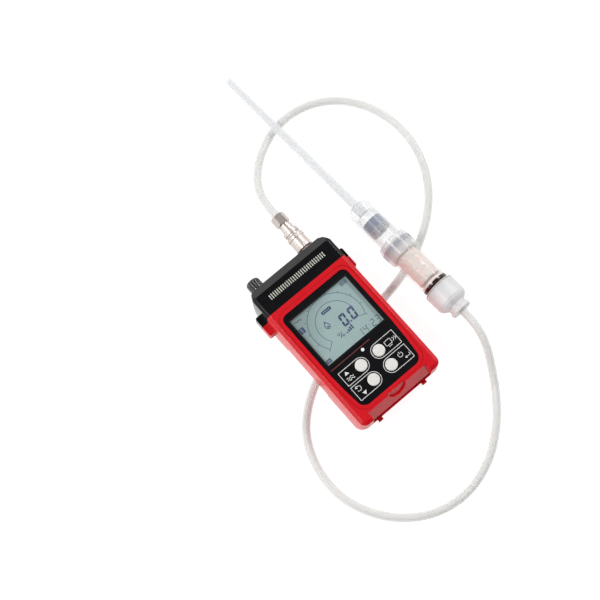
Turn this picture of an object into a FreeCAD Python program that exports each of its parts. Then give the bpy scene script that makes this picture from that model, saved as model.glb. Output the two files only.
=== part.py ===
"""Hand-held pump-drawn gas detector with its sampling hose and probe, in millimetres.

The detector lies on its back: +X to its right, +Y towards its head, +Z out of its face.
Z = 0 is the surface it lies on, and X = Y = 0 is the middle of the detector itself.
"""

import FreeCAD, Part
import math
import os

from FreeCAD import Placement, Rotation, Vector

# ---- driving dimensions --------------------------------------------------
CASE_HALF_W = 35.3
CASE_BOTTOM_Y = -65.6
CASE_TOP_Y = 36.0
HEAD_LOW_Y = 36.4
HEAD_TOP_Y = 58.4
THICKNESS = 36.0
PARTING_Z = 22.0
BACK_Z = 7.0
WALL = 2.2
BACK_INSET = 2.2
FOOT_INSET = 4.0
SIDE_DRAFT = 0.3
CORNER_R = 5.0
RIM_W, RIM_DROP = 2.4, 1.4
EDGE_R = 0.6
GRIP_LOW_Y = -28.0
GRIP_HIGH_Y = 16.0
SEAL_T = 0.4

PANEL_HALF_W = 28.8
PANEL_LOW_HALF_W = 26.3
PANEL_LOW_Y = -55.0
PANEL_HIGH_Y = 29.4
PANEL_TOP_R = 4.5
PANEL_LOW_R = 6.3
PANEL_T = 0.8
POCKET_DEPTH = 1.2
GROOVE_OUT, GROOVE_W, GROOVE_DEPTH = 2.6, 0.6, 0.4
FRONT_WALL_T = 2.4

LCD_HALF_W = 26.6
LCD_LOW_Y = -18.3
LCD_HIGH_Y = 25.3
LCD_LIP = 0.9

BUTTON_R = 4.4
BUTTON_HOLE_R = 4.65
BUTTON_FLANGE_R = 5.5
BUTTON_TRAVEL = 0.8
BUTTONS = {
    "display_button": (8.1, -31.3),
    "power_button": (8.1, -44.4),
    "air_button": (-8.1, -31.3),
    "reset_button": (-8.1, -44.4),
}
STATUS_X, STATUS_Y, STATUS_R = 0.0, -23.6, 1.2

SLOPE_HALF_W = 26.2
SLOPE_TOP_Y = -59.4
SLOPE_LOW_Y = -64.2
SLOPE_LOW_Z = 25.0
THUMB_R = 7.5

LAMP_HALF_W = 25.0
LAMP_HALF_H = 2.05
LAMP_Y = 45.7
LAMP_RIBS = 34
HEAD_BEVEL_Y = 52.0
HEAD_BEVEL_Z = 30.6

BOARD_Z = 26.6
BOARD_T = 1.6
BOARD_TOP = BOARD_Z + BOARD_T

LUG_X = 40.0
LUG_LOW_Z, LUG_HIGH_Z = 13.5, 21.6
LUG_LOW_Y, LUG_HIGH_Y = 27.3, 44.1
LUG_CHAMFER = 0.9
EYE_X, EYE_Z, EYE_R = 37.4, 17.6, 1.6

SCREW_X = 30.6
SCREW_YS = (12.0, -24.0)
BOSS_R = 2.6

BAY_HALF_W = 28.6
BAY_ROOF_Z = 17.2
CELL_R, CELL_LEN, CELL_NUB = 7.1, 49.5, 1.0
CELL_YS = (-37.8, -52.3)
CELL_Z = 9.6
COVER_HALF_W = 25.9
COVER_LOW_Z, COVER_HIGH_Z = 2.2, 17.0
COVER_INNER_LOW_Z = 2.75
DOORWAY_LOW_Z = 1.6
COVER_T = 2.0
HINGE_Y, HINGE_Z = -65.9, 18.3
KNUCKLE_R, KNUCKLE_HALF = 1.5, 0.85
KNUCKLE_XS = (-20.0, 20.0)
EAR_W = 0.9
HINGE_PIN_R, HINGE_BORE_R = 0.6, 0.65
LATCH_TRAVEL = 1.5

PORT_Z = 20.0
INLET_X, OUTLET_X = 20.4, -24.3
OUTLET_TOP_Y = 67.4
OUTLET_BORE_R = 1.5
NIPPLE_R = 3.5
SLEEVE_TRAVEL = 1.8
NUT_END_Y = 92.1

PUMP_X, PUMP_Z = -20.0, 10.0
SENSOR_X, SENSOR_Y, SENSOR_R = 18.5, 27.6, 9.0
ECCENTRICITY = 0.8

HOSE_R = 3.0
HOSE_BORE_R = 2.0
HOSE_ROUTE = [
    (20.4, 92.1, 20.0), (20.4, 106.1, 20.0), (25.8, 119.6, 17.4), (36.5, 132.0, 10.8),
    (51.0, 142.5, 4.4), (69.0, 149.5, 3.0), (91.0, 149.0, 3.0), (112.0, 139.5, 3.0),
    (128.0, 121.5, 3.0), (136.5, 98.0, 3.0), (136.5, 73.0, 3.0), (127.5, 48.5, 3.0),
    (110.0, 27.5, 3.0), (85.0, 11.5, 3.0), (58.5, 2.5, 3.0), (31.0, -1.5, 3.0), (4.0, -3.5, 3.0),
    (-22.0, -9.5, 3.0), (-45.5, -20.5, 3.0), (-64.5, -37.5, 3.0), (-74.0, -60.0, 3.0),
    (-75.5, -83.0, 3.0), (-69.0, -104.5, 3.0), (-55.0, -124.0, 3.0), (-34.0, -138.5, 3.0),
    (-7.5, -143.5, 3.0), (19.0, -136.5, 3.0), (40.0, -122.0, 3.0), (55.5, -104.5, 3.6),
    (64.5, -89.0, 9.7), (71.0, -74.8, 19.2), (74.36, -59.16, 23.15), (73.8, -45.7, 22.3),
]

PROBE_TIP = Vector(63.6, 198.1, 6.9)
PROBE_END = Vector(73.8, -45.7, 22.3)
PROBE_LEN = (PROBE_END - PROBE_TIP).Length
NOZZLE_TIP_R, NOZZLE_BASE_R = 2.75, 3.4
NOZZLE_PLUG_R = 4.0
NOZZLE_LEN = 136.5
HOLDER_R, HOLDER_START, HOLDER_END = 9.15, 140.0, 172.9
FLANGE_START = HOLDER_END + 0.7
CARTRIDGE_R, CARTRIDGE_START, CARTRIDGE_END = 7.7, 152.4, 163.3
COLLAR_R, COLLAR_END = 12.1, 187.8
BARREL_R, BARREL_BORE_R, BARREL_END = 10.75, 9.4, 214.6
ORING_R, ORING_START, ORING_END = 10.2, 215.2, 219.4
CAP_R, CAP_START, CAP_END = 12.0, 220.3, 237.3
CAP_NECK_R, CAP_LIP_R = 7.0, 7.9


# ---- helpers -------------------------------------------------------------
def block(x0, x1, y0, y1, z0, z1):
    """A box from its low to its high corner."""
    return Part.makeBox(x1 - x0, y1 - y0, z1 - z0, Vector(x0, y0, z0))


def rod(radius, start, axis, length):
    """A cylinder from start along axis."""
    return Part.makeCylinder(radius, length, Vector(*start), Vector(*axis))


def ring(outer, inner, start, axis, length):
    """A tube from start along axis, its bore run past both ends."""
    a = Vector(*axis)
    before = Vector(*start) - a
    return rod(outer, start, axis, length).cut(Part.makeCylinder(inner, length + 2, before, a))


def polygon(points):
    """A closed wire through points."""
    return Part.makePolygon([Vector(*p) for p in list(points) + [points[0]]])


def prism_x(points_yz, x0, x1):
    """A profile in the YZ plane, extruded from x0 to x1."""
    face = Part.Face(polygon([(x0, y, z) for y, z in points_yz]))
    return face.extrude(Vector(x1 - x0, 0, 0))


def fuse(first, *others):
    """One clean solid from several that touch."""
    return first.multiFuse(list(others)).removeSplitter() if others else first


def group(solids):
    """Separate solids kept in one node."""
    return Part.makeCompound(solids)


def rounded_plate(half_w, low_y, high_y, radius, z0, z1):
    """A plate with four rounded corners."""
    plate = block(-half_w, half_w, low_y, high_y, z0, z1)
    upright = [e for e in plate.Edges if abs(e.BoundBox.ZLength - (z1 - z0)) < 1e-6]
    return plate.makeFillet(radius, upright)


def case_wire(z, inset, low_y, high_y, radius):
    """The case outline at height z: square at the head, rounded at the bottom end."""
    w = CASE_HALF_W - inset
    k = radius * (1 - math.sqrt(0.5))
    corners = [
        Part.LineSegment(Vector(-w, high_y, z), Vector(-w, low_y + radius, z)),
        Part.Arc(Vector(-w, low_y + radius, z), Vector(-w + k, low_y + k, z), Vector(-w + radius, low_y, z)),
        Part.LineSegment(Vector(-w + radius, low_y, z), Vector(w - radius, low_y, z)),
        Part.Arc(Vector(w - radius, low_y, z), Vector(w - k, low_y + k, z), Vector(w, low_y + radius, z)),
        Part.LineSegment(Vector(w, low_y + radius, z), Vector(w, high_y, z)),
        Part.LineSegment(Vector(w, high_y, z), Vector(-w, high_y, z)),
    ]
    return Part.Wire([c.toShape() for c in corners])


def side_inset(z, inset):
    """Below the parting line the long sides lean in less than the ends do."""
    return inset * SIDE_DRAFT if z < PARTING_Z - 1 else inset


def case_loft(z0, inset0, z1, inset1, extra=0.0, high_y=CASE_TOP_Y):
    """A tapering stretch of the case between two heights, extra further in for a cavity."""
    rows = [case_wire(z, side_inset(z, inset) + extra, CASE_BOTTOM_Y + inset + extra, high_y, CORNER_R)
            for z, inset in ((z0, inset0), (z1, inset1))]
    return Part.makeLoft(rows, True, True)


def head_wire(z, inset, low_y):
    """The head outline at height z, with its cut top corners."""
    i, w = inset, CASE_HALF_W - side_inset(z, inset)
    half = [(w, low_y), (w, 51.2 - 0.4 * i), (w - 2.4 - 0.4 * i, 56.4 - 0.8 * i), (w - 5.6, HEAD_TOP_Y - i)]
    return polygon([(x, y, z) for x, y in half] + [(-x, y, z) for x, y in reversed(half)])


def head_loft(z0, inset0, z1, inset1, low_y):
    """A tapering stretch of the head between two heights."""
    return Part.makeLoft([head_wire(z0, inset0, low_y), head_wire(z1, inset1, low_y)], True, True)


def on_probe(shape):
    """Turns a shape made along +Z from the origin onto the probe's own axis."""
    axis = (PROBE_END - PROBE_TIP).normalize()
    placed = shape.copy()
    placed.Placement = Placement(PROBE_TIP, Rotation(Vector(0, 0, 1), axis))
    return placed


def turned(profile):
    """A solid of revolution about +Z from (radius, z) points."""
    face = Part.Face(polygon([(r, 0, z) for r, z in profile]))
    return face.revolve(Vector(0, 0, 0), Vector(0, 0, 1), 360)


def turned_y(profile, x, z):
    """A solid of revolution about a line along +Y at (x, z), from (radius, y) points."""
    shape = turned(profile)
    shape.Placement = Placement(Vector(x, 0, z), Rotation(Vector(0, 0, 1), Vector(0, 1, 0)))
    return shape


def hexagon_y(across_flats, x, z, y0, y1):
    """A hexagonal bar along +Y."""
    r = across_flats / math.sqrt(3)
    points = [(x + r * math.cos(math.radians(60 * k)), y0, z + r * math.sin(math.radians(60 * k)))
              for k in range(6)]
    return Part.Face(polygon(points)).extrude(Vector(0, y1 - y0, 0))


# ---- casings -------------------------------------------------------------
def bosses(z0, z1, radius):
    """The screw bosses of one case half."""
    return [rod(radius, (sx * SCREW_X, y, z0), (0, 0, 1), z1 - z0) for sx in (-1, 1) for y in SCREW_YS]


def panel_plate(out, z0, z1):
    """A plate of the panel's outline, this far outside it: its sides close in below the display."""
    half = [(PANEL_HALF_W + out, PANEL_HIGH_Y + out), (PANEL_HALF_W + out, LCD_LOW_Y - 3),
            (PANEL_HALF_W + out - 0.7, LCD_LOW_Y - 18), (PANEL_LOW_HALF_W + out, PANEL_LOW_Y - out)]
    outline = polygon([(x, y, z0) for x, y in half] + [(-x, y, z0) for x, y in reversed(half)])
    plate = Part.Face(outline).extrude(Vector(0, 0, z1 - z0))
    for radius, y in ((PANEL_TOP_R, PANEL_HIGH_Y + out), (PANEL_LOW_R, PANEL_LOW_Y - out)):
        corners = [e for e in plate.Edges if abs(e.BoundBox.ZLength - (z1 - z0)) < 1e-6
                   and abs(e.BoundBox.Center.y - y) < 0.01]
        plate = plate.makeFillet(radius + out, corners)
    return plate


def panel_ring(out):
    """A plate at the face, this far outside the panel, for the groove round it."""
    return panel_plate(out, THICKNESS - GROOVE_DEPTH, THICKNESS + 1)


def front_case():
    """Red front shell: bezel, panel pocket, sloped bottom end with a thumb notch."""
    low_z = PARTING_Z + SEAL_T / 2
    rim_z = THICKNESS - RIM_DROP
    shell = fuse(case_loft(low_z, 0, rim_z, 0), case_loft(rim_z, 0, THICKNESS, RIM_W))
    rims = [e for e in shell.Edges
            if e.BoundBox.ZLength < 0.01 and e.BoundBox.ZMin > rim_z - 0.01 and e.BoundBox.YMin < CASE_TOP_Y - 0.1]
    shell = shell.makeFillet(EDGE_R, rims)
    inner = Part.Face(case_wire(low_z - 1, WALL, SLOPE_TOP_Y + 2.4, CASE_TOP_Y + 1, CORNER_R)).extrude(
        Vector(0, 0, THICKNESS - FRONT_WALL_T - low_z + 1))
    slope = prism_x([(SLOPE_TOP_Y, THICKNESS + 1), (SLOPE_TOP_Y, THICKNESS), (SLOPE_LOW_Y, SLOPE_LOW_Z),
                     (SLOPE_LOW_Y, low_z - 1), (CASE_BOTTOM_Y - 4, low_z - 1),
                     (CASE_BOTTOM_Y - 4, THICKNESS + 1)], -SLOPE_HALF_W, SLOPE_HALF_W)
    normal = Vector(0, SLOPE_LOW_Z - THICKNESS, SLOPE_TOP_Y - SLOPE_LOW_Y).normalize()
    at = Vector(0, SLOPE_TOP_Y, THICKNESS) - normal * 1.3
    thumb = Part.makeCylinder(THUMB_R, 6, at, normal)
    cuts = [inner, slope, thumb,
            panel_plate(0.1, THICKNESS - POCKET_DEPTH, THICKNESS + 1),
            block(-LCD_HALF_W + LCD_LIP, LCD_HALF_W - LCD_LIP, LCD_LOW_Y + LCD_LIP, LCD_HIGH_Y - LCD_LIP,
                  THICKNESS - 5, THICKNESS + 1),
            rod(STATUS_R + 0.1, (STATUS_X, STATUS_Y, 30), (0, 0, 1), 8)]
    cuts += [rod(BUTTON_HOLE_R, (x, y, 30), (0, 0, 1), 8) for x, y in BUTTONS.values()]
    shell = shell.cut(cuts[0])
    shell = shell.cut(panel_ring(GROOVE_OUT + GROOVE_W).cut(panel_ring(GROOVE_OUT)))
    shell = fuse(shell, *bosses(low_z, THICKNESS - FRONT_WALL_T + 0.2, BOSS_R))
    shell = shell.cut(group(cuts[1:]))
    pilots = [rod(0.85, (b.BoundBox.Center.x, b.BoundBox.Center.y, low_z - 1), (0, 0, 1), 10)
              for b in bosses(0, 1, 1)]
    return shell.cut(group(pilots)).removeSplitter()


def rear_case():
    """Red rear shell: sensor and battery bulges with a hand grip between, bay, lugs, hinge ears."""
    top_z = PARTING_Z - SEAL_T / 2
    top_inset = 0.0
    outer = case_loft(BACK_Z, BACK_INSET, top_z, top_inset)
    feet = case_loft(0, FOOT_INSET, BACK_Z, BACK_INSET)
    feet = feet.cut(block(-50, 50, GRIP_LOW_Y, GRIP_HIGH_Y, -1, BACK_Z))
    outer = fuse(outer, feet)
    inner = case_loft(BACK_Z + WALL, BACK_INSET, top_z, top_inset, WALL, CASE_TOP_Y + 1)
    above = case_loft(top_z, top_inset, top_z + 1, top_inset, WALL, CASE_TOP_Y + 1)
    foot_hollow = case_loft(WALL, FOOT_INSET, BACK_Z + WALL + 0.1, BACK_INSET - 0.1, WALL, CASE_TOP_Y + 1)
    foot_hollow = foot_hollow.cut(block(-50, 50, GRIP_LOW_Y - WALL, GRIP_HIGH_Y + WALL, -1, 20))
    shell = outer.cut(inner).cut(above).cut(foot_hollow)
    inner_half = CASE_HALF_W - BACK_INSET * SIDE_DRAFT - 1
    roof = block(-inner_half, inner_half, CASE_BOTTOM_Y + 3, GRIP_LOW_Y - 0.2, BAY_ROOF_Z, BAY_ROOF_Z + 1.6)
    rib = block(-inner_half, inner_half, GRIP_LOW_Y - WALL, GRIP_LOW_Y - 0.2, BACK_Z + 1, BAY_ROOF_Z + 0.5)
    lugs = []
    for side in (-1, 1):
        lug = block(33.6, LUG_X, LUG_LOW_Y, CASE_TOP_Y, LUG_LOW_Z, LUG_HIGH_Z)
        corner = [e for e in lug.Edges if e.BoundBox.XMin > LUG_X - 0.01 and e.BoundBox.YMax < LUG_LOW_Y + 0.01]
        lug = lug.makeChamfer(LUG_CHAMFER, corner)
        lugs.append(lug if side > 0 else lug.mirror(Vector(), Vector(1, 0, 0)))
    ears = []
    for x in KNUCKLE_XS:
        for side in (-1, 1):
            x0 = x + side * (KNUCKLE_HALF + 0.1 + EAR_W / 2) - EAR_W / 2
            ears.append(rod(KNUCKLE_R - 0.05, (x0, HINGE_Y, HINGE_Z), (1, 0, 0), EAR_W))
            ears.append(block(x0, x0 + EAR_W, HINGE_Y, -63.8, HINGE_Z, HINGE_Z + 1.4))
    shell = fuse(shell, roof, rib, *lugs, *ears, *bosses(BACK_Z + 0.5, top_z, BOSS_R))
    door_gap = 0.2
    cuts = [block(-COVER_HALF_W - door_gap, COVER_HALF_W + door_gap, CASE_BOTTOM_Y - 6, -58.5,
                  DOORWAY_LOW_Z, BAY_ROOF_Z),
            block(-3.3, 3.3, CASE_BOTTOM_Y - 6, -61.2, 0.5, COVER_LOW_Z)]
    for x in KNUCKLE_XS:
        x0, x1 = x - KNUCKLE_HALF - 0.1, x + KNUCKLE_HALF + 0.1
        cuts.append(rod(KNUCKLE_R + 0.3, (x0, HINGE_Y, HINGE_Z), (1, 0, 0), x1 - x0))
        cuts.append(block(x0, x1, HINGE_Y - 2, -63.0, BAY_ROOF_Z - 0.5, HINGE_Z))
        cuts.append(rod(HINGE_PIN_R, (x0 - EAR_W - 1, HINGE_Y, HINGE_Z), (1, 0, 0), x1 - x0 + 2 * EAR_W + 2))
    for side in (-1, 1):
        cuts.append(rod(EYE_R, (side * EYE_X, LUG_LOW_Y - 1, EYE_Z), (0, 1, 0), 12))
        for y in SCREW_YS:
            cuts.append(rod(1.1, (side * SCREW_X, y, BACK_Z - 1), (0, 0, 1), 20))
            cuts.append(rod(2.0, (side * SCREW_X, y, BACK_Z - 1), (0, 0, 1), 3.2))
    cuts.append(block(-20, 20, -52, -34, -0.1, 0.5))
    return shell.cut(group(cuts)).removeSplitter()


def head_case():
    """Black head cap with a bevelled front top edge, cut corners, lamp slot and lug ears."""
    rim_z = THICKNESS - RIM_DROP
    body = fuse(
        head_loft(0, FOOT_INSET, BACK_Z, BACK_INSET, HEAD_LOW_Y),
        head_loft(BACK_Z, BACK_INSET, PARTING_Z, 0, HEAD_LOW_Y),
        head_loft(PARTING_Z, 0, rim_z, 0, HEAD_LOW_Y),
        head_loft(rim_z, 0, THICKNESS, RIM_W, HEAD_LOW_Y))
    bevel = prism_x([(HEAD_BEVEL_Y, THICKNESS), (HEAD_TOP_Y, HEAD_BEVEL_Z), (HEAD_TOP_Y + 5, HEAD_BEVEL_Z),
                     (HEAD_TOP_Y + 5, THICKNESS + 2), (HEAD_BEVEL_Y, THICKNESS + 2)], -50, 50)
    body = body.cut(bevel)
    sharp = [e for e in body.Edges
             if e.BoundBox.YMax > HEAD_LOW_Y + 0.1 and abs(e.BoundBox.ZMin - BACK_Z) > 0.1
             and abs(e.BoundBox.ZMax - BACK_Z) > 0.1 and e.BoundBox.ZMin > BACK_Z + 0.1
             and not (e.BoundBox.ZLength < 0.01 and abs(e.BoundBox.ZMin - PARTING_Z) < 0.1)]
    body = body.makeFillet(EDGE_R, sharp)
    hollow = fuse(
        head_loft(WALL, FOOT_INSET + WALL, BACK_Z, BACK_INSET + WALL, HEAD_LOW_Y - 1),
        head_loft(BACK_Z, BACK_INSET + WALL, PARTING_Z, WALL, HEAD_LOW_Y - 1),
        head_loft(PARTING_Z, WALL, THICKNESS - FRONT_WALL_T, WALL, HEAD_LOW_Y - 1))
    hollow = hollow.cut(prism_x([(HEAD_BEVEL_Y - 2.4, 34), (HEAD_TOP_Y - 1, HEAD_BEVEL_Z - 4.5),
                                 (HEAD_TOP_Y + 5, HEAD_BEVEL_Z - 4.5), (HEAD_TOP_Y + 5, 40),
                                 (HEAD_BEVEL_Y - 2.4, 40)], -50, 50))
    body = body.cut(hollow)
    lugs = []
    for side in (-1, 1):
        lug = block(33.6, LUG_X, HEAD_LOW_Y, LUG_HIGH_Y, LUG_LOW_Z, LUG_HIGH_Z)
        corner = [e for e in lug.Edges if e.BoundBox.XMin > LUG_X - 0.01 and e.BoundBox.YMin > LUG_HIGH_Y - 0.01]
        lug = lug.makeChamfer(LUG_CHAMFER, corner)
        lugs.append(lug if side > 0 else lug.mirror(Vector(), Vector(1, 0, 0)))
    body = fuse(body, *lugs)
    cuts = [block(-LAMP_HALF_W - 0.05, LAMP_HALF_W + 0.05, LAMP_Y - LAMP_HALF_H - 0.05,
                  LAMP_Y + LAMP_HALF_H + 0.05, 30, 40),
            rod(4.05, (INLET_X, 50, PORT_Z), (0, 1, 0), 12),
            rod(4.05, (OUTLET_X, 50, PORT_Z), (0, 1, 0), 12)]
    cuts += [rod(EYE_R, (s * EYE_X, HEAD_LOW_Y - 1, EYE_Z), (0, 1, 0), 12) for s in (-1, 1)]
    return body.cut(group(cuts)).removeSplitter()


def head_seal():
    """Rubber seal in the joint between case and head."""
    def slab(inset):
        w = CASE_HALF_W - inset
        half = [(w - FOOT_INSET * SIDE_DRAFT, inset), (w - BACK_INSET * SIDE_DRAFT, BACK_Z), (w, PARTING_Z),
                (w, THICKNESS - inset)]
        outline = half + [(-x, z) for x, z in reversed(half)]
        return Part.Face(polygon([(x, CASE_TOP_Y, z) for x, z in outline])).extrude(Vector(0, SEAL_T, 0))
    return slab(0.7).cut(slab(WALL - 0.2))


def case_seal():
    """Rubber seal in the parting plane between the two case halves."""
    z = PARTING_Z - SEAL_T / 2
    outer = case_wire(z, 0.7, CASE_BOTTOM_Y + 2.1, CASE_TOP_Y, CORNER_R)
    inner = case_wire(z, WALL - 0.2, CASE_BOTTOM_Y + 3.3, CASE_TOP_Y + 1, CORNER_R)
    return Part.Face(outer).extrude(Vector(0, 0, SEAL_T)).cut(Part.Face(inner).extrude(Vector(0, 0, SEAL_T)))


def case_screws():
    """Four screws from the back into the front half's bosses."""
    screws = []
    for side in (-1, 1):
        for y in SCREW_YS:
            head = rod(1.9, (side * SCREW_X, y, BACK_Z + 0.4), (0, 0, 1), 1.8)
            shank = rod(0.85, (side * SCREW_X, y, BACK_Z + 2), (0, 0, 1), 20)
            slots = [block(-1.3, 1.3, -0.25, 0.25, 0, 0.7), block(-0.25, 0.25, -1.3, 1.3, 0, 0.7)]
            cross = group(slots)
            cross.translate(Vector(side * SCREW_X, y, BACK_Z + 0.3))
            screws.append(fuse(head, shank).cut(cross))
    return group(screws)


def rear_label():
    """Blank rating plate let into the battery bulge."""
    return rounded_plate(19.8, -51.8, -34.2, 1.5, 0.1, 0.5)


# ---- face ----------------------------------------------------------------
def front_panel():
    """Glossy black overlay with openings for the window, buttons and status light."""
    z0 = THICKNESS - POCKET_DEPTH
    plate = panel_plate(0, z0, z0 + PANEL_T)
    cuts = [block(-LCD_HALF_W, LCD_HALF_W, LCD_LOW_Y, LCD_HIGH_Y, z0 - 1, z0 + 3),
            rod(STATUS_R + 0.1, (STATUS_X, STATUS_Y, z0 - 1), (0, 0, 1), 3)]
    cuts += [rod(BUTTON_HOLE_R, (x, y, z0 - 1), (0, 0, 1), 3) for x, y in BUTTONS.values()]
    return plate.cut(group(cuts))


def lcd_window():
    """Clear window over the display."""
    z0 = THICKNESS - POCKET_DEPTH
    return block(-LCD_HALF_W, LCD_HALF_W, LCD_LOW_Y, LCD_HIGH_Y, z0, z0 + PANEL_T + 0.1)


def lcd_frame():
    """Frame that holds the display and its backlight over the board."""
    return block(-27.8, 27.8, -19.2, 26.3, BOARD_TOP, 33.4).cut(block(-26.2, 26.2, -17.9, 25.0, 20, 40))


def lcd_glass():
    """Liquid crystal cell."""
    return block(-26.1, 26.1, -17.8, 24.9, 31.8, 33.4)


def backlight():
    """Light guide behind the display."""
    return block(-26.1, 26.1, -17.8, 24.9, BOARD_TOP + 0.1, 31.7)


def button(x, y):
    """Round button with a retaining flange under the panel."""
    top = THICKNESS + 0.6
    profile = [(0, 32.4), (BUTTON_FLANGE_R, 32.4), (BUTTON_FLANGE_R, 33.4), (BUTTON_R, 33.4), (BUTTON_R, top - 0.5),
               (BUTTON_R - 0.15, top - 0.2), (BUTTON_R - 0.5, top), (0, top + 0.1)]
    shape = turned(profile)
    shape.translate(Vector(x, y, 0))
    return shape


def keypad_membrane():
    """Silicone sheet with a raised dome under each button."""
    sheet = block(-20, 20, -50.4, -26.0, BOARD_TOP, 30.0)
    domes = [rod(3.3, (x, y, 29.9), (0, 0, 1), 1.5) for x, y in BUTTONS.values()]
    hollows = [rod(3.4, (x, y, BOARD_TOP - 1), (0, 0, 1), 2.1) for x, y in BUTTONS.values()]
    return fuse(sheet, *domes).cut(group(hollows))


def dome_switches():
    """Metal snap domes on the board."""
    return group([rod(3.0, (x, y, BOARD_TOP), (0, 0, 1), 0.4) for x, y in BUTTONS.values()])


def status_led():
    """Status light on its stem."""
    return rod(STATUS_R, (STATUS_X, STATUS_Y, BOARD_TOP), (0, 0, 1), THICKNESS - 0.2 - BOARD_TOP)


# ---- electronics ---------------------------------------------------------
def main_board():
    """Main circuit board, notched round the screw bosses."""
    board = block(-31.4, 31.4, -54.6, 33.0, BOARD_Z, BOARD_TOP)
    notches = [rod(BOSS_R + 0.4, (s * SCREW_X, y, 20), (0, 0, 1), 12) for s in (-1, 1) for y in SCREW_YS]
    return board.cut(group(notches))


def board_chips():
    """Controller, amplifier, converter and connector on the underside of the board."""
    return group([
        block(-7, 7, -8, 6, 25.0, BOARD_Z), block(-24, -15, -12, -3, 25.2, BOARD_Z),
        block(14, 20, 4, 12, 25.2, BOARD_Z), block(-26, -16, -52, -44, 23.4, BOARD_Z),
        block(6, 24, -53.4, -48.4, 22.6, BOARD_Z)])


def alarm_board():
    """Circuit board for the alarm lamps."""
    return block(-27, 27, 41.2, 49.2, 27.4, 28.6)


def alarm_leds():
    """Red lamps behind the alarm window."""
    return group([block(x - 1.6, x + 1.6, LAMP_Y - 1.4, LAMP_Y + 1.4, 28.6, 30.6) for x in range(-20, 21, 8)])


def alarm_window():
    """Ribbed clear strip over the alarm lamps, with a retaining flange inside."""
    bar = block(-LAMP_HALF_W, LAMP_HALF_W, LAMP_Y - LAMP_HALF_H, LAMP_Y + LAMP_HALF_H, 33.0, THICKNESS + 0.1)
    flange = block(-LAMP_HALF_W - 1, LAMP_HALF_W + 1, LAMP_Y - 3.2, LAMP_Y + 3.2, 32.2, 33.5)
    pitch = 2 * LAMP_HALF_W / LAMP_RIBS
    ribs = []
    for k in range(LAMP_RIBS):
        x = -LAMP_HALF_W + (k + 0.5) * pitch
        for y0, y1 in ((LAMP_Y - LAMP_HALF_H + 0.15, LAMP_Y - 0.2), (LAMP_Y + 0.2, LAMP_Y + LAMP_HALF_H - 0.15)):
            ribs.append(block(x - pitch * 0.3, x + pitch * 0.3, y0, y1, THICKNESS, THICKNESS + 0.4))
    return fuse(bar, flange, *ribs)


def buzzer():
    """Sounder in the head."""
    return rod(8.0, (1.0, 43.5, 3.0), (0, 0, 1), 5.5)


# ---- gas path ------------------------------------------------------------
def combustible_sensor():
    """Sensor can with its three pins."""
    can = rod(SENSOR_R, (SENSOR_X, SENSOR_Y, 3.4), (0, 0, 1), 10.6)
    pins = [rod(0.5, (SENSOR_X + dx, SENSOR_Y + dy, 2.5), (0, 0, 1), 1.2)
            for dx, dy in ((4, 0), (-2, 3.4), (-2, -3.4))]
    return fuse(can, *pins)


def sensor_seal():
    """Flat ring between sensor and manifold."""
    return ring(SENSOR_R, 6.0, (SENSOR_X, SENSOR_Y, 14.0), (0, 0, 1), 0.6)


def sensor_manifold():
    """Block that leads the sample over the sensor."""
    body = block(7.5, 30.0, 17.0, 37.2, 14.6, 24.0)
    chamber = rod(6.0, (SENSOR_X, SENSOR_Y, 13), (0, 0, 1), 5.0)
    inlet = rod(1.4, (INLET_X, 30, PORT_Z), (0, 1, 0), 8)
    drop = rod(1.4, (INLET_X, 30.5, 16), (0, 0, 1), 4)
    outlet = rod(1.4, (5, 26.5, PORT_Z), (1, 0, 0), 12)
    down = rod(1.4, (16, 26.5, 16), (0, 0, 1), 4)
    return body.cut(group([chamber, inlet, drop, outlet, down]))


def inlet_port():
    """Threaded sample inlet with its coupling nipple outside and barb inside."""
    flange = hexagon_y(9.6, INLET_X, PORT_Z, HEAD_TOP_Y + 0.02, 60.1)
    stem = turned_y([(1.4, 46), (2.1, 46), (2.3, 48), (2.0, 48.4), (2.0, 53.5), (4.0, 53.5), (4.0, 60), (NIPPLE_R, 60),
                     (NIPPLE_R, 63.2), (3.0, 63.2), (3.0, 64.8), (NIPPLE_R, 64.8),
                     (NIPPLE_R, OUTLET_TOP_Y - 0.4), (3.1, OUTLET_TOP_Y), (1.4, OUTLET_TOP_Y)], INLET_X, PORT_Z)
    bore = rod(1.4, (INLET_X, 40, PORT_Z), (0, 1, 0), 40)
    return fuse(flange, stem).cut(bore)


def inlet_oring():
    """O-ring in the nipple's groove."""
    return ring(4.25, 3.0, (INLET_X, 63.3, PORT_Z), (0, 1, 0), 1.4)


def inlet_tube():
    """Tube from the inlet barb to the manifold."""
    return ring(3.3, 2.4, (INLET_X, 37.2, PORT_Z), (0, 1, 0), 15.8)


def pump_tube():
    """Tube from the manifold to the pump."""
    return ring(3.0, 1.4, (-8.8, 26.5, PORT_Z), (1, 0, 0), 16.3)


def exhaust_tube():
    """Tube from the pump to the gas outlet."""
    return ring(3.2, 2.4, (OUTLET_X, 45.2, PORT_Z), (0, 1, 0), 7.8)


def pump_body():
    """Diaphragm pump head with crank chamber, valve chamber and outlet barb."""
    body = fuse(block(-29.0, -9.6, 30.6, 45.0, 4.6, 24.0), block(-14.0, -8.8, 22.5, 30.7, 16.5, 23.6))
    crank = rod(5.2, (PUMP_X, 30, PUMP_Z), (0, 1, 0), 12)
    chamber = rod(6.2, (PUMP_X, 37.0, 15.6), (0, 0, 1), 4.2)
    suction = rod(1.2, (-8, 26.5, PORT_Z), (-1, 0, 0), 4)
    suction_turn = rod(1.2, (-12, 25.5, PORT_Z), (0, 1, 0), 12)
    outlet = rod(1.2, (OUTLET_X, 38, PORT_Z), (0, 1, 0), 12)
    barb = rod(2.35, (OUTLET_X, 44.9, PORT_Z), (0, 1, 0), 6.0)
    return fuse(body, barb).cut(group([crank, chamber, suction, suction_turn, outlet]))


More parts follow.
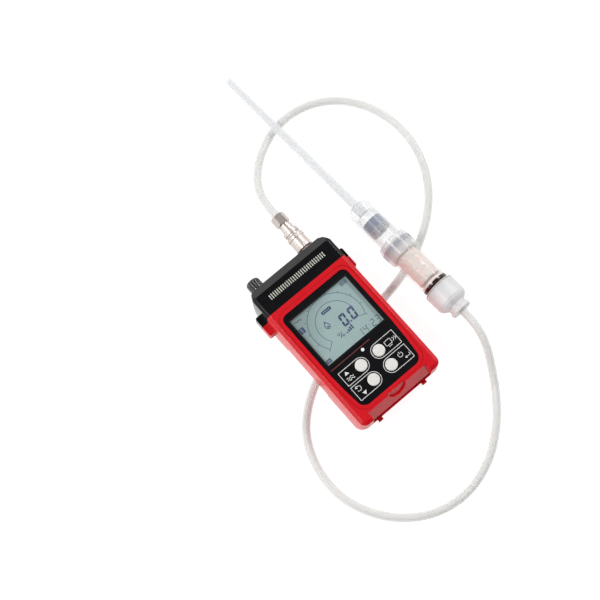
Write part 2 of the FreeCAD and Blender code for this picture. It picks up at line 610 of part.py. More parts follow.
def pump_motor():
    """Small motor that drives the crank."""
    can = rod(6.0, (PUMP_X, 18.6, PUMP_Z), (0, 1, 0), 11.9)
    flats = group([block(PUMP_X - 8, PUMP_X + 8, 17, 32, PUMP_Z + 5, PUMP_Z + 8),
                   block(PUMP_X - 8, PUMP_X + 8, 17, 32, PUMP_Z - 8, PUMP_Z - 5)])
    return can.cut(flats).cut(rod(1.05, (PUMP_X, 22, PUMP_Z), (0, 1, 0), 12))


def pump_rotor():
    """Motor shaft with its eccentric crank disc and balance slot."""
    shaft = rod(1.0, (PUMP_X, 22.2, PUMP_Z), (0, 1, 0), 17.6)
    crank = rod(2.8, (PUMP_X + ECCENTRICITY, 33.5, PUMP_Z), (0, 1, 0), 5)
    return fuse(shaft, crank)


def pump_diaphragm():
    """Rubber diaphragm between crank chamber and valve chamber."""
    return turned([(0, 15.7), (6.1, 15.7), (6.1, 16.7), (4.6, 16.7), (4.0, 17.4), (2.4, 17.4), (2.0, 16.9), (0, 16.9)]
                  ).translated(Vector(PUMP_X, 37.0, 0))


def exhaust_knob():
    """Fluted, round-topped gas outlet knob on a threaded stem."""
    knob = turned_y([(OUTLET_BORE_R, 59.0), (5.5, 59.0), (5.5, 64.6), (5.1, 66.0), (4.2, 66.9), (3.0, OUTLET_TOP_Y),
                     (OUTLET_BORE_R, OUTLET_TOP_Y)], OUTLET_X, PORT_Z)
    flutes = []
    for k in range(16):
        a = 2 * math.pi * k / 16
        at = (OUTLET_X + 5.75 * math.cos(a), 60.0, PORT_Z + 5.75 * math.sin(a))
        flutes.append(rod(0.6, at, (0, 1, 0), 8))
    collar = rod(4.6, (OUTLET_X, HEAD_TOP_Y + 0.02, PORT_Z), (0, 1, 0), 0.7)
    stem = rod(4.0, (OUTLET_X, 53.2, PORT_Z), (0, 1, 0), 5.4)
    body = fuse(knob, collar, stem).cut(group(flutes))
    return body.cut(rod(OUTLET_BORE_R, (OUTLET_X, 50, PORT_Z), (0, 1, 0), 20))


# ---- battery -------------------------------------------------------------
def end_face_y(z, inset=0.0):
    """Y of the tapering bottom end at height z."""
    if z < BACK_Z:
        taper = FOOT_INSET + (BACK_INSET - FOOT_INSET) * z / BACK_Z
    else:
        taper = BACK_INSET * (1 - (z - BACK_Z) / (PARTING_Z - SEAL_T / 2 - BACK_Z))
    return CASE_BOTTOM_Y + taper + inset


def battery_cover():
    """Door of the battery bay, with two hinge knuckles and a window for its latch."""
    outline = [(end_face_y(COVER_LOW_Z), COVER_LOW_Z), (end_face_y(BACK_Z), BACK_Z),
               (end_face_y(COVER_HIGH_Z), COVER_HIGH_Z), (end_face_y(COVER_HIGH_Z, COVER_T), COVER_HIGH_Z),
               (end_face_y(BACK_Z, COVER_T), BACK_Z), (end_face_y(COVER_LOW_Z, COVER_T), COVER_INNER_LOW_Z)]
    plate = prism_x(outline, -COVER_HALF_W, COVER_HALF_W)
    plate = plate.cut(block(-5.2, 5.2, -70, -55, 3.4, 9.0))
    plate = plate.cut(block(-3.2, 3.2, -70, -61.3, 0, 3.5))
    arms = []
    for x in KNUCKLE_XS:
        arms.append(rod(KNUCKLE_R, (x - KNUCKLE_HALF, HINGE_Y, HINGE_Z), (1, 0, 0), 2 * KNUCKLE_HALF))
        arms.append(prism_x([(HINGE_Y - 1.3, HINGE_Z - 0.7), (-64.2, 15.6), (-63.4, 16.4), (HINGE_Y + 1.1, HINGE_Z - 0.6)],
                            x - KNUCKLE_HALF, x + KNUCKLE_HALF))
    cover = fuse(plate, *arms)
    bores = [rod(HINGE_BORE_R, (x - 3, HINGE_Y, HINGE_Z), (1, 0, 0), 6) for x in KNUCKLE_XS]
    return cover.cut(group(bores))


def hinge_pins():
    """Two short pins held in the case's hinge ears."""
    half = KNUCKLE_HALF + 0.1 + EAR_W
    return group([rod(HINGE_PIN_R, (x - half, HINGE_Y, HINGE_Z), (1, 0, 0), 2 * half) for x in KNUCKLE_XS])


def cover_latch():
    """Sliding catch in the battery door, with a tongue for the case's notch."""
    pad = prism_x([(end_face_y(3.6) + 0.1, 3.6), (end_face_y(7.0) + 0.1, 7.0), (end_face_y(7.0, COVER_T), 7.0),
                   (end_face_y(3.6, COVER_T), 3.6)], -5.0, 5.0)
    tongue = block(-2.9, 2.9, -62.3, -61.5, 1.3, 4.4)
    grooves = [block(-4, 4, -64.4, end_face_y(z) + 0.35, z - 0.2, z + 0.2) for z in (4.5, 5.4, 6.3)]
    return fuse(pad, tongue).cut(group(grooves))


def battery_cells():
    """Two standard AA cells, side by side and opposite ways round."""
    cells = []
    for y, way in zip(CELL_YS, (1, -1)):
        can = rod(CELL_R, (-way * CELL_LEN / 2, y, CELL_Z), (way, 0, 0), CELL_LEN)
        nub = rod(2.7, (way * CELL_LEN / 2, y, CELL_Z), (way, 0, 0), CELL_NUB)
        cells.append(fuse(can, nub))
    return group(cells)


def battery_contacts():
    """Sprung contact plates at both ends of the bay."""
    plates = [block(-28.2, -27.4, -56.6, -31.6, 4.0, 16.0),
              block(27.4, 28.2, -44.8, -31.6, 4.0, 16.0), block(27.4, 28.2, -56.6, -45.6, 4.0, 16.0)]
    reach = {1: (CELL_LEN / 2 + CELL_NUB, CELL_LEN / 2), -1: (CELL_LEN / 2, CELL_LEN / 2 + CELL_NUB)}
    solids = []
    for index, plate in enumerate(plates):
        side = -1 if index == 0 else 1
        bumps = []
        for y, way in zip(CELL_YS, (1, -1)):
            if index == 1 and y != CELL_YS[0] or index == 2 and y != CELL_YS[1]:
                continue
            end = reach[way][0] if side > 0 else reach[way][1]
            bumps.append(rod(2.4, (side * (end + 0.05), y, CELL_Z), (side, 0, 0), 27.6 - end - 0.05))
        solids.append(fuse(plate, *bumps))
    return group(solids)


# ---- hose coupling -------------------------------------------------------
def coupling_body():
    """Socket of the quick coupling, over the nipple, with its stop ring and neck."""
    return turned_y([(4.3, 61.0), (5.0, 61.0), (5.0, 74.4), (5.9, 74.6), (5.9, 77.4), (5.4, 77.8), (4.6, 77.8),
                     (4.6, 81.6), (1.6, 81.6), (1.6, 70.4), (4.3, 70.4)], INLET_X, PORT_Z)


def coupling_sleeve():
    """Sprung release sleeve with knurled bands."""
    sleeve = turned_y([(5.1, 60.6), (6.3, 60.6), (6.7, 61.0), (6.7, 63.4), (6.3, 63.8), (6.3, 69.6), (6.8, 70.0),
                       (6.8, 72.0), (6.5, 72.4), (5.9, 72.4), (5.9, 65.6), (5.1, 65.6)], INLET_X, PORT_Z)
    notches = []
    for k in range(24):
        a = 2 * math.pi * k / 24
        at = (INLET_X + 6.9 * math.cos(a), 60, PORT_Z + 6.9 * math.sin(a))
        notches.append(rod(0.35, at, (0, 1, 0), 14))
    return sleeve.cut(group(notches))


def coupling_spring():
    """Return spring between the sleeve's inner step and the stop ring."""
    turns, wire_r, mean_r = 5, 0.25, 5.4
    height = 74.2 - 65.9 - 2 * wire_r
    helix = Part.makeHelix(height / turns, height, mean_r)
    section = Part.Wire([Part.Circle(Vector(mean_r, 0, 0), Vector(0, 1, 0), wire_r).toShape()])
    spring = Part.Wire(helix.Edges).makePipeShell([section], True, True)
    spring.Placement = Placement(Vector(INLET_X, 65.9 + wire_r, PORT_Z), Rotation(Vector(0, 0, 1), Vector(0, 1, 0)))
    return spring


def coupling_nut():
    """Hexagonal hose nut with a turned shoulder."""
    nut = hexagon_y(9.8, INLET_X, PORT_Z, 83.4, NUT_END_Y)
    cone = turned_y([(0, 83.4), (4.4, 83.4), (5.66, 84.6), (5.66, NUT_END_Y - 1.0), (4.7, NUT_END_Y), (0, NUT_END_Y)],
                    INLET_X, PORT_Z)
    shoulder = rod(4.3, (INLET_X, 81.6, PORT_Z), (0, 1, 0), 2.0)
    return fuse(nut.common(cone), shoulder).cut(rod(1.6, (INLET_X, 80, PORT_Z), (0, 1, 0), 14))


# ---- hose ----------------------------------------------------------------
def hose_path():
    """Straight runs joined by tangent arcs, each as large as its two runs allow."""
    points = [Vector(*p) for p in HOSE_ROUTE]
    edges, radii, start = [], [], points[0]
    for before, corner, after in zip(points, points[1:], points[2:]):
        u, v = before - corner, after - corner
        shorter = min(u.Length, v.Length)
        u.normalize()
        v.normalize()
        turn = math.pi - u.getAngle(v)
        reach = 0.45 * shorter
        radii.append(reach / math.tan(turn / 2))
        a, b = corner + u * reach, corner + v * reach
        middle = (u + v).normalize()
        to_middle = radii[-1] / math.cos(turn / 2) - radii[-1]
        edges.append(Part.LineSegment(start, a).toShape())
        edges.append(Part.Arc(a, corner + middle * to_middle, b).toShape())
        start = b
    edges.append(Part.LineSegment(start, points[-1]).toShape())
    return Part.Wire(edges), radii


def sample_hose():
    """Clear plastic hose from the coupling nut to the probe cap."""
    path, radii = hose_path()
    first = Vector(*HOSE_ROUTE[1]) - Vector(*HOSE_ROUTE[0])
    tubes = []
    for radius in (HOSE_R, HOSE_BORE_R):
        circle = Part.Wire([Part.Circle(Vector(*HOSE_ROUTE[0]), first, radius).toShape()])
        tubes.append(path.makePipeShell([circle], True, False))
    hose = tubes[0].cut(tubes[1])
    section = math.pi * (HOSE_R ** 2 - HOSE_BORE_R ** 2)
    print("hose length %.1f mm, volume %.0f mm3, section x length %.0f mm3" %
          (path.Length, hose.Volume, section * path.Length))
    print("hose bend radii, mm:", ", ".join("%.0f" % r for r in radii))
    return hose


# ---- probe, made along its own axis from the tip -------------------------
def probe_nozzle():
    """Long tapered nozzle with a plug at its base."""
    return turned([(1.5, 0), (NOZZLE_TIP_R, 0), (NOZZLE_BASE_R, NOZZLE_LEN - 1.0), (NOZZLE_PLUG_R + 0.4, NOZZLE_LEN),
                   (NOZZLE_PLUG_R, NOZZLE_LEN + 0.1), (NOZZLE_PLUG_R, NOZZLE_LEN + 8), (2.2, NOZZLE_LEN + 8),
                   (2.2, NOZZLE_LEN)])


def nozzle_holder():
    """Translucent holder: a small shoulder round the nozzle, then a wide tube with a flange."""
    return turned([(4.06, 136.9), (6.4, 136.9), (7.0, 137.6), (7.0, 139.4), (7.9, HOLDER_START), (8.7, 140.4),
                   (HOLDER_R, 141.4), (HOLDER_R, FLANGE_START), (10.0, FLANGE_START), (10.0, 175.4), (7.9, 175.4),
                   (7.9, 146.0), (4.06, 146.0)])


def filter_cartridge():
    """Blue-grey filter cartridge with notches round its rim."""
    body = turned([(2.0, CARTRIDGE_START), (CARTRIDGE_R, CARTRIDGE_START), (CARTRIDGE_R, CARTRIDGE_END),
                   (2.0, CARTRIDGE_END)])
    notches = []
    for k in range(10):
        a = 2 * math.pi * k / 10
        notch = block(CARTRIDGE_R - 1.2, CARTRIDGE_R + 1, -0.9, 0.9, CARTRIDGE_END - 2.6, CARTRIDGE_END + 1)
        notches.append(notch.rotated(Vector(), Vector(0, 0, 1), math.degrees(a)))
    return body.cut(group(notches))


def filter_collar():
    """Screw collar that joins holder and barrel, with a ribbed grip band."""
    start = HOLDER_END
    body = turned([(HOLDER_R + 0.02, start), (11.2, start), (11.6, start + 0.6), (11.6, 175.2), (COLLAR_R, 175.6),
                   (COLLAR_R, COLLAR_END - 0.8), (11.6, COLLAR_END), (10.35, COLLAR_END), (10.35, 177.0),
                   (10.05, 177.0), (10.05, FLANGE_START), (HOLDER_R + 0.02, FLANGE_START)])
    ribs = []
    for k in range(36):
        rib = block(COLLAR_R - 0.2, COLLAR_R + 0.25, -0.35, 0.35, 177.4, 183.4)
        ribs.append(rib.rotated(Vector(), Vector(0, 0, 1), 10.0 * k))
    return fuse(body, *ribs)


def membrane_filter():
    """White water-stop membrane disc."""
    return turned([(0, 175.6), (9.9, 175.6), (9.9, 176.6), (0, 176.6)])


def probe_barrel():
    """Clear filter barrel with three raised threads at its collar end."""
    profile = [(BARREL_BORE_R, 178.0), (9.9, 178.0)]
    for k in range(3):
        z = 179.4 + 2.6 * k
        profile += [(9.9, z), (10.2, z + 0.6), (10.2, z + 1.1), (9.9, z + 1.7)]
    profile += [(9.9, 188.4), (BARREL_R, 188.8), (BARREL_R, BARREL_END), (BARREL_BORE_R, BARREL_END)]
    return turned(profile)


def dust_filter():
    """Roll of cotton inside the barrel."""
    return turned([(0, 179.0), (7.6, 179.0), (9.2, 181.0), (9.2, 212.0), (7.6, 213.8), (0, 213.8)])


def probe_oring():
    """Dark O-ring between barrel and cap."""
    return turned([(8.2, 214.7), (9.4, 214.7), (ORING_R - 0.6, ORING_START), (ORING_R, ORING_START + 1.1),
                   (ORING_R, ORING_END - 1.1), (ORING_R - 0.6, ORING_END), (9.4, 220.2), (8.2, 220.2)])


def probe_cap():
    """White cap with a tapered neck for the hose."""
    return turned([(2.0, CAP_START), (11.2, CAP_START), (CAP_R, CAP_START + 0.9), (CAP_R, CAP_END - 3.5),
                   (11.2, CAP_END - 1.4), (8.9, CAP_END + 0.6), (CAP_NECK_R + 0.3, CAP_END + 1.6),
                   (CAP_NECK_R, PROBE_LEN - 3.2), (CAP_LIP_R, PROBE_LEN - 2.4), (CAP_LIP_R, PROBE_LEN - 0.5),
                   (CAP_LIP_R - 0.5, PROBE_LEN), (2.0, PROBE_LEN)])


# ---- assembly ------------------------------------------------------------
def nodes():
    """Every sub-part by name."""
    made = {
        "front_case": front_case(),
        "rear_case": rear_case(),
        "head_case": head_case(),
        "head_seal": head_seal(),
        "case_seal": case_seal(),
        "case_screws": case_screws(),
        "rear_label": rear_label(),
        "front_panel": front_panel(),
        "lcd_window": lcd_window(),
        "lcd_frame": lcd_frame(),
        "lcd_glass": lcd_glass(),
        "backlight": backlight(),
        "keypad_membrane": keypad_membrane(),
        "dome_switches": dome_switches(),
        "status_led": status_led(),
        "main_board": main_board(),
        "board_chips": board_chips(),
        "alarm_board": alarm_board(),
        "alarm_leds": alarm_leds(),
        "alarm_window": alarm_window(),
        "buzzer": buzzer(),
        "combustible_sensor": combustible_sensor(),
        "sensor_seal": sensor_seal(),
        "sensor_manifold": sensor_manifold(),
        "inlet_port": inlet_port(),
        "inlet_oring": inlet_oring(),
        "inlet_tube": inlet_tube(),
        "pump_tube": pump_tube(),
        "exhaust_tube": exhaust_tube(),
        "pump_body": pump_body(),
        "pump_motor": pump_motor(),
        "pump_rotor": pump_rotor(),
        "pump_diaphragm": pump_diaphragm(),
        "exhaust_knob": exhaust_knob(),
        "battery_cover": battery_cover(),
        "hinge_pins": hinge_pins(),
        "cover_latch": cover_latch(),
        "battery_cells": battery_cells(),
        "battery_contacts": battery_contacts(),
        "coupling_body": coupling_body(),
        "coupling_sleeve": coupling_sleeve(),
        "coupling_spring": coupling_spring(),
        "coupling_nut": coupling_nut(),
        "sample_hose": sample_hose(),
    }
    for name, (x, y) in BUTTONS.items():
        made[name] = button(x, y)
    for make in (probe_nozzle, nozzle_holder, filter_cartridge, filter_collar, membrane_filter,
                 probe_barrel, dust_filter, probe_oring, probe_cap):
        made[make.__name__] = on_probe(make())
    return made


def main():
    """Writes one STEP file per node."""
    os.makedirs("parts", exist_ok=True)
    for name, shape in nodes().items():
        shape.exportStep(f"parts/{name}.step")
        box = shape.BoundBox
        print("%-20s solids %2d valid %s  vol %9.1f  x %.1f..%.1f y %.1f..%.1f z %.1f..%.1f" % (
            name, len(shape.Solids), shape.isValid(), shape.Volume,
            box.XMin, box.XMax, box.YMin, box.YMax, box.ZMin, box.ZMax))


main()
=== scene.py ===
"""Finishes and fine pieces of a pump-drawn gas detector, its sampling hose and its filter probe.

Everything is in metres in the row frame: the detector lies on its back with its face up (+Z),
its head towards +Y and its sample inlet on the right of the head (+X).
"""

import math

import bmesh
import bpy
from bpy.props import FloatProperty, FloatVectorProperty, IntProperty, PointerProperty
from mathutils import Matrix, Vector, noise


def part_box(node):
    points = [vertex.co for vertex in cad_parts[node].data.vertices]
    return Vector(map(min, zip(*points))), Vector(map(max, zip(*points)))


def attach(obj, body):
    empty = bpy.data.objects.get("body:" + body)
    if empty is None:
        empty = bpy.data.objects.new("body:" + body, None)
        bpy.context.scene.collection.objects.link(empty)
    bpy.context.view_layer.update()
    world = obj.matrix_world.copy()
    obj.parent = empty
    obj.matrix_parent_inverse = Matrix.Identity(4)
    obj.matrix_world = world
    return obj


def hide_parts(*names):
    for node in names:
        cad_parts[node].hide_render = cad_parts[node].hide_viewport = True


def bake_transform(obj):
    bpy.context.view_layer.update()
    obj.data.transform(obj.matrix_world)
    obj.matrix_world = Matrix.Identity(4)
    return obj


bl_info = {
    "name": "Pump-drawn gas detector",
    "version": (1, 0, 0),
    "blender": (4, 5, 0),
    "location": "View3D > Sidebar > Detector",
    "description": "Finishes and fine pieces of a gas detector with its hose and filter probe",
    "category": "Object",
}

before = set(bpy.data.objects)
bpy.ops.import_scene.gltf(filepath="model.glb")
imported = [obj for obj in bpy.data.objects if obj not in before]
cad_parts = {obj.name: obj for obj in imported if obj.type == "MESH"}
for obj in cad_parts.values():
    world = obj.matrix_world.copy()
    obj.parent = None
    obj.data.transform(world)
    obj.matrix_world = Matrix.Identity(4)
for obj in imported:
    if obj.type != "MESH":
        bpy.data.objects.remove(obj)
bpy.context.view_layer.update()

MM = 0.001
HOSE_ROUTE = [
    (0.0204, 0.0921, 0.0200), (0.0204, 0.1061, 0.0200), (0.0258, 0.1196, 0.0174), (0.0365, 0.1320, 0.0108),
    (0.0510, 0.1425, 0.0044), (0.0690, 0.1495, 0.0030), (0.0910, 0.1490, 0.0030), (0.1120, 0.1395, 0.0030),
    (0.1280, 0.1215, 0.0030), (0.1365, 0.0980, 0.0030), (0.1365, 0.0730, 0.0030), (0.1275, 0.0485, 0.0030),
    (0.1100, 0.0275, 0.0030), (0.0850, 0.0115, 0.0030), (0.0585, 0.0025, 0.0030), (0.0310, -0.0015, 0.0030),
    (0.0040, -0.0035, 0.0030), (-0.0220, -0.0095, 0.0030), (-0.0455, -0.0205, 0.0030),
    (-0.0645, -0.0375, 0.0030), (-0.0740, -0.0600, 0.0030), (-0.0755, -0.0830, 0.0030),
    (-0.0690, -0.1045, 0.0030), (-0.0550, -0.1240, 0.0030), (-0.0340, -0.1385, 0.0030),
    (-0.0075, -0.1435, 0.0030), (0.0190, -0.1365, 0.0030), (0.0400, -0.1220, 0.0030),
    (0.0555, -0.1045, 0.0036), (0.0645, -0.0890, 0.0097), (0.0710, -0.0748, 0.0192),
    (0.07436, -0.05916, 0.02315), (0.0738, -0.0457, 0.0223),
]

PROBE_TIP = Vector((0.0636, 0.1981, 0.0069))
PROBE_END = Vector((0.0738, -0.0457, 0.0223))
PROBE_AXIS = (PROBE_END - PROBE_TIP).normalized()

# Seven-segment digits: the strokes that are lit, in the usual order from the top one round to the middle.
LIT = {"0": "abcdef", "1": "bc", "2": "abged", "3": "abgcd", "4": "fgbc"}


# ---- shader maths ---------------------------------------------------------
class Flow:
    """A shader socket that can be used in sums."""

    def __init__(self, graph, socket):
        self.graph = graph
        self.socket = socket

    def math(self, operation, *values):
        return self.graph.node("Math", {"operation": operation}, dict(enumerate(values)))

    def __add__(self, other):
        return self.math("ADD", self, other)

    def __radd__(self, other):
        return self.math("ADD", other, self)

    def __sub__(self, other):
        return self.math("SUBTRACT", self, other)

    def __rsub__(self, other):
        return self.math("SUBTRACT", other, self)

    def __mul__(self, other):
        return self.math("MULTIPLY", self, other)

    def __rmul__(self, other):
        return self.math("MULTIPLY", other, self)

    def __truediv__(self, other):
        return self.math("DIVIDE", self, other)


class Graph:
    """One material's nodes, from the place on the object to the shader."""

    def __init__(self, name):
        self.material = bpy.data.materials.new(name)
        self.material.use_nodes = True
        self.tree = self.material.node_tree
        self.shader = self.tree.nodes["Principled BSDF"]
        self.place = self.node("TexCoord", output="Object")

    def node(self, kind, settings=None, sockets=None, output=0):
        """Adds a node: its settings first, then the values or links of its sockets."""
        node = self.tree.nodes.new("ShaderNode" + kind)
        for key, value in (settings or {}).items():
            if key == "stops":
                fill_ramp(node.color_ramp, value)
            else:
                setattr(node, key, value)
        for key, value in (sockets or {}).items():
            self.feed(node.inputs[key], value)
        return Flow(self, node.outputs[output])

    def feed(self, socket, value):
        if isinstance(value, Flow):
            self.tree.links.new(value.socket, socket)
        else:
            socket.default_value = value

    def noise(self, size, detail=2.0, place=None):
        """Noise whose lumps are about this many metres across."""
        return self.node("TexNoise", {}, {"Vector": place or self.place, "Scale": 1 / size, "Detail": detail})

    def band(self, value, low, high, soft):
        """1 between two values and 0 outside them, with soft edges."""
        rise = self.node("MapRange", {}, {0: value, 1: low - soft, 2: low + soft})
        fall = self.node("MapRange", {}, {0: value, 1: high - soft, 2: high + soft})
        return rise - fall

    def mix(self, factor, first, second, blend="MIX"):
        settings = {"data_type": "RGBA", "blend_type": blend}
        return self.node("Mix", settings, {0: factor, 6: first, 7: second}, output=2)

    def axis(self, direction, origin=(0, 0, 0)):
        """How far a place lies along a direction, in metres from the origin point."""
        moved = self.node("VectorMath", {"operation": "SUBTRACT"}, {0: self.place, 1: tuple(origin)})
        return self.node("VectorMath", {"operation": "DOT_PRODUCT"}, {0: moved, 1: tuple(direction)},
                         output="Value")

    def edge(self):
        """0 where the surface is seen square on, and 1 along its edges."""
        return self.node("LayerWeight", {}, {"Blend": 0.35}, output="Facing")

    def stretched(self, scale):
        return self.node("VectorMath", {"operation": "MULTIPLY"}, {0: self.place, 1: scale})

    def finish(self, sockets, height=None, depth=0.0):
        """Feeds the shader, with a bump of this depth in metres, and returns the material."""
        for key, value in sockets.items():
            self.feed(self.shader.inputs[key], value)
        if height is not None:
            bump = self.node("Bump", {}, {"Strength": 1.0, "Distance": depth, "Height": height})
            self.feed(self.shader.inputs["Normal"], bump)
        return self.material


def fill_ramp(ramp, stops):
    while len(ramp.elements) < len(stops):
        ramp.elements.new(1.0)
    for element, (position, colour) in zip(ramp.elements, stops):
        element.position = position
        element.color = colour


def shade(colour, gain):
    """A colour made darker or lighter."""
    return tuple(min(1.0, channel * gain) for channel in colour[:3]) + (1.0,)


# ---- finishes -------------------------------------------------------------
def moulded(name, colour, roughness, grain=0.35 * MM, depth=0.02 * MM, cloud=0.12, sockets=None, painted_shade_box=None):
    """Moulded plastic: a spark-eroded grain, faint flow clouding and hand polish.

    The last argument gives the low and high corner of a space where the plastic is painted near black: painted shade.
    """
    graph = Graph(name)
    clouding = graph.noise(18 * MM, 3)
    handled = graph.noise(7 * MM, 4)
    pebble = graph.noise(grain, 2)
    base = graph.mix(clouding, shade(colour, 1 - cloud), shade(colour, 1 + cloud))
    # Painted shade: inside the box the plastic's colour is painted near black.
    if painted_shade_box:
        inside = 1.0
        for side, (low, high) in enumerate(zip(*painted_shade_box)):
            along = graph.axis([float(side == k) for k in range(3)])
            inside = graph.band(along, low, high, 0.05 * MM) * inside
        base = graph.mix(inside, base, (0.004, 0.004, 0.005, 1))
    rough = roughness + (handled - 0.5) * 0.16 + (pebble - 0.5) * 0.08
    return graph.finish({"Base Color": base, "Roughness": rough} | (sockets or {}), pebble, depth)


def speckled(name, colour, fleck, roughness):
    """Silicone rubber with fine flecks and a dusty skin."""
    graph = Graph(name)
    flecks = graph.node("MapRange", {}, {0: graph.noise(0.45 * MM, 3), 1: 0.56, 2: 0.68})
    dust = graph.noise(2.5 * MM, 3)
    base = graph.mix(flecks * 0.55, graph.mix(dust, shade(colour, 0.93), colour), fleck)
    return graph.finish({"Base Color": base, "Roughness": roughness + (dust - 0.5) * 0.2},
                        graph.noise(0.3 * MM, 2), 0.02 * MM)


def turned_metal(name, colour, roughness, along=(0, 1, 0), pitch=0.22 * MM, metal=1.0):
    """Plated metal with the fine rings that turning leaves, and dull patches."""
    graph = Graph(name)
    rings = graph.node("TexNoise", {"noise_dimensions": "1D"}, {"W": graph.axis(along), "Scale": 1 / pitch,
                                                                "Detail": 2.0})
    patches = graph.noise(3 * MM, 4)
    base = graph.mix(patches, shade(colour, 0.86), shade(colour, 1.06))
    rough = roughness + (patches - 0.5) * 0.14 + (rings - 0.5) * 0.1
    return graph.finish({"Base Color": base, "Roughness": rough, "Metallic": metal}, rings, 0.002 * MM)


def clear(name, colour, roughness, body, edge, sockets=None, haze_size=4 * MM, painted_edge_shade=None):
    """Clear or milky plastic: thin where it is seen square on, dense along its edges, with faint haze.

    body and edge are how much of the light it stops in the middle and along the edges.
    """
    graph = Graph(name)
    haze = graph.noise(haze_size, 3)
    fine = graph.noise(haze_size / 5, 2)
    facing = graph.edge()
    base = graph.mix(haze, shade(colour, 0.965), colour)
    # Painted shade: the colour turns to the given darker one where the surface is seen edge on.
    if painted_edge_shade:
        base = graph.mix(facing, base, painted_edge_shade)
    stop = body + (edge - body) * facing + (haze - 0.5) * 0.06
    rough = roughness + (haze - 0.5) * 0.1 + (fine - 0.5) * 0.04
    values = {"Base Color": base, "Roughness": rough, "Alpha": stop}
    return graph.finish(values | (sockets or {}), fine, 0.008 * MM)


def printed(name, colour, roughness):
    """Ink with a slightly uneven film."""
    graph = Graph(name)
    film = graph.noise(0.5 * MM, 3)
    base = graph.mix(film, shade(colour, 0.88), shade(colour, 1.04))
    return graph.finish({"Base Color": base, "Roughness": roughness + (film - 0.5) * 0.2}, film, 0.004 * MM)


def dress(names, material):
    """Gives CAD nodes a finish."""
    for name in names:
        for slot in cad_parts[name].material_slots:
            slot.material = material


# ---- mesh helpers ---------------------------------------------------------
def mesh_from(name, work):
    """The finished mesh of a bmesh, which is freed."""
    mesh = bpy.data.meshes.new(name)
    work.to_mesh(mesh)
    work.free()
    return mesh


def add_piece(name, mesh, material, body):
    """Puts a finished mesh in the scene, riding on a CAD body unless it bends between two."""
    mesh.materials.append(material)
    piece = bpy.data.objects.new(name, mesh)
    bpy.context.scene.collection.objects.link(piece)
    if body:
        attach(piece, body)
    return piece


def smooth(mesh, angle=math.radians(35)):
    mesh.shade_smooth()
    mesh.set_sharp_from_angle(angle=angle)


class Inlay:
    """Flat raised shapes between two heights, gathered into one mesh."""

    def __init__(self, low, high):
        self.low = low
        self.high = high
        self.work = bmesh.new()

    def rows(self, points):
        return [[self.work.verts.new((x, y, z)) for x, y in points] for z in (self.low, self.high)]

    def area(self, points):
        """A filled outline."""
        low, high = self.rows(points)
        self.work.faces.new(high)
        self.work.faces.new(low[::-1])
        wrap(self.work, low, high)

    def line(self, points, width, closed=False):
        """A stroke of even width along points."""
        left, right = offsets(points, width / 2, closed)
        left_rows, right_rows = self.rows(left), self.rows(right)
        ring = [right_rows[0], right_rows[1], left_rows[1], left_rows[0]]
        for k in range(len(points) if closed else len(points) - 1):
            after = (k + 1) % len(points)
            for side in range(4):
                near, far = ring[side], ring[(side + 1) % 4]
                self.work.faces.new((near[k], near[after], far[after], far[k]))
        if not closed:
            self.work.faces.new([row[0] for row in ring])
            self.work.faces.new([row[-1] for row in ring][::-1])

    def piece(self, name, material, body="detector", slot="panel_black"):
        bmesh.ops.recalc_face_normals(self.work, faces=self.work.faces)
        return add_piece(name, mesh_from(name, self.work), material, body)


def offsets(points, half, closed):
    """The left and right edges of a stroke, mitred at its corners."""
    flat = [Vector(p) for p in points]
    count = len(flat)
    left, right = [], []
    for k, point in enumerate(flat):
        before = flat[(k - 1) % count] if closed or k else point * 2 - flat[1]
        after = flat[(k + 1) % count] if closed or k < count - 1 else point * 2 - flat[k - 1]
        way_in = (point - before).normalized()
        way_out = (after - point).normalized()
        side = Vector((-(way_in + way_out).y, (way_in + way_out).x)).normalized()
        reach = half / max(0.4, side.dot(Vector((-way_in.y, way_in.x))))
        left.append(tuple(point + side * reach))
        right.append(tuple(point - side * reach))
    return left, right


def arc(centre, radius, start, end, steps=16):
    """Points of an arc, in degrees, anticlockwise where end is larger."""
    angles = [math.radians(start + (end - start) * k / steps) for k in range(steps + 1)]
    return [(centre[0] + radius * math.cos(a), centre[1] + radius * math.sin(a)) for a in angles]


def rectangle(centre, width, height, radius=0.0):
    """A rectangle's outline, its corners rounded where a radius is given."""
    x, y, w, h = centre[0], centre[1], width / 2 - radius, height / 2 - radius
    corners = [((x + w, y + h), 0), ((x - w, y + h), 90), ((x - w, y - h), 180), ((x + w, y - h), 270)]
    if not radius:
        return [corner for corner, turn in corners]
    return [point for corner, turn in corners for point in arc(corner, radius, turn, turn + 90, 6)]


def centre_of(low, high):
    return (low.x + high.x) / 2, (low.y + high.y) / 2


def moved(points, centre):
    return [(x + centre[0], y + centre[1]) for x, y in points]


def wrap(work, first, second):
    """Faces between two closed rings of as many vertices."""
    for k in range(len(first)):
        after = (k + 1) % len(first)
        work.faces.new((first[k], first[after], second[after], second[k]))


def turned(name, profile, place, segments=64):
    """A mesh turned about the Z axis of a matrix, from radius and height pairs, closed on its axis."""
    work = bmesh.new()
    rings = []
    for radius, height in profile:
        ring = []
        for k in range(segments):
            angle = 2 * math.pi * k / segments
            ring.append(work.verts.new(place @ Vector((radius * math.cos(angle), radius * math.sin(angle), height))))
        rings.append(ring)
    for lower, upper in zip(rings, rings[1:]):
        wrap(work, lower, upper)
    work.faces.new(rings[0][::-1])
    work.faces.new(rings[-1])
    bmesh.ops.recalc_face_normals(work, faces=work.faces)
    return mesh_from(name, work)


def on_probe(distance):
    """The frame of the probe at a distance from its tip: Z runs from the tip towards the hose."""
    turn = PROBE_AXIS.to_track_quat("Z", "Y").to_matrix().to_4x4()
    return Matrix.Translation(PROBE_TIP + PROBE_AXIS * distance) @ turn


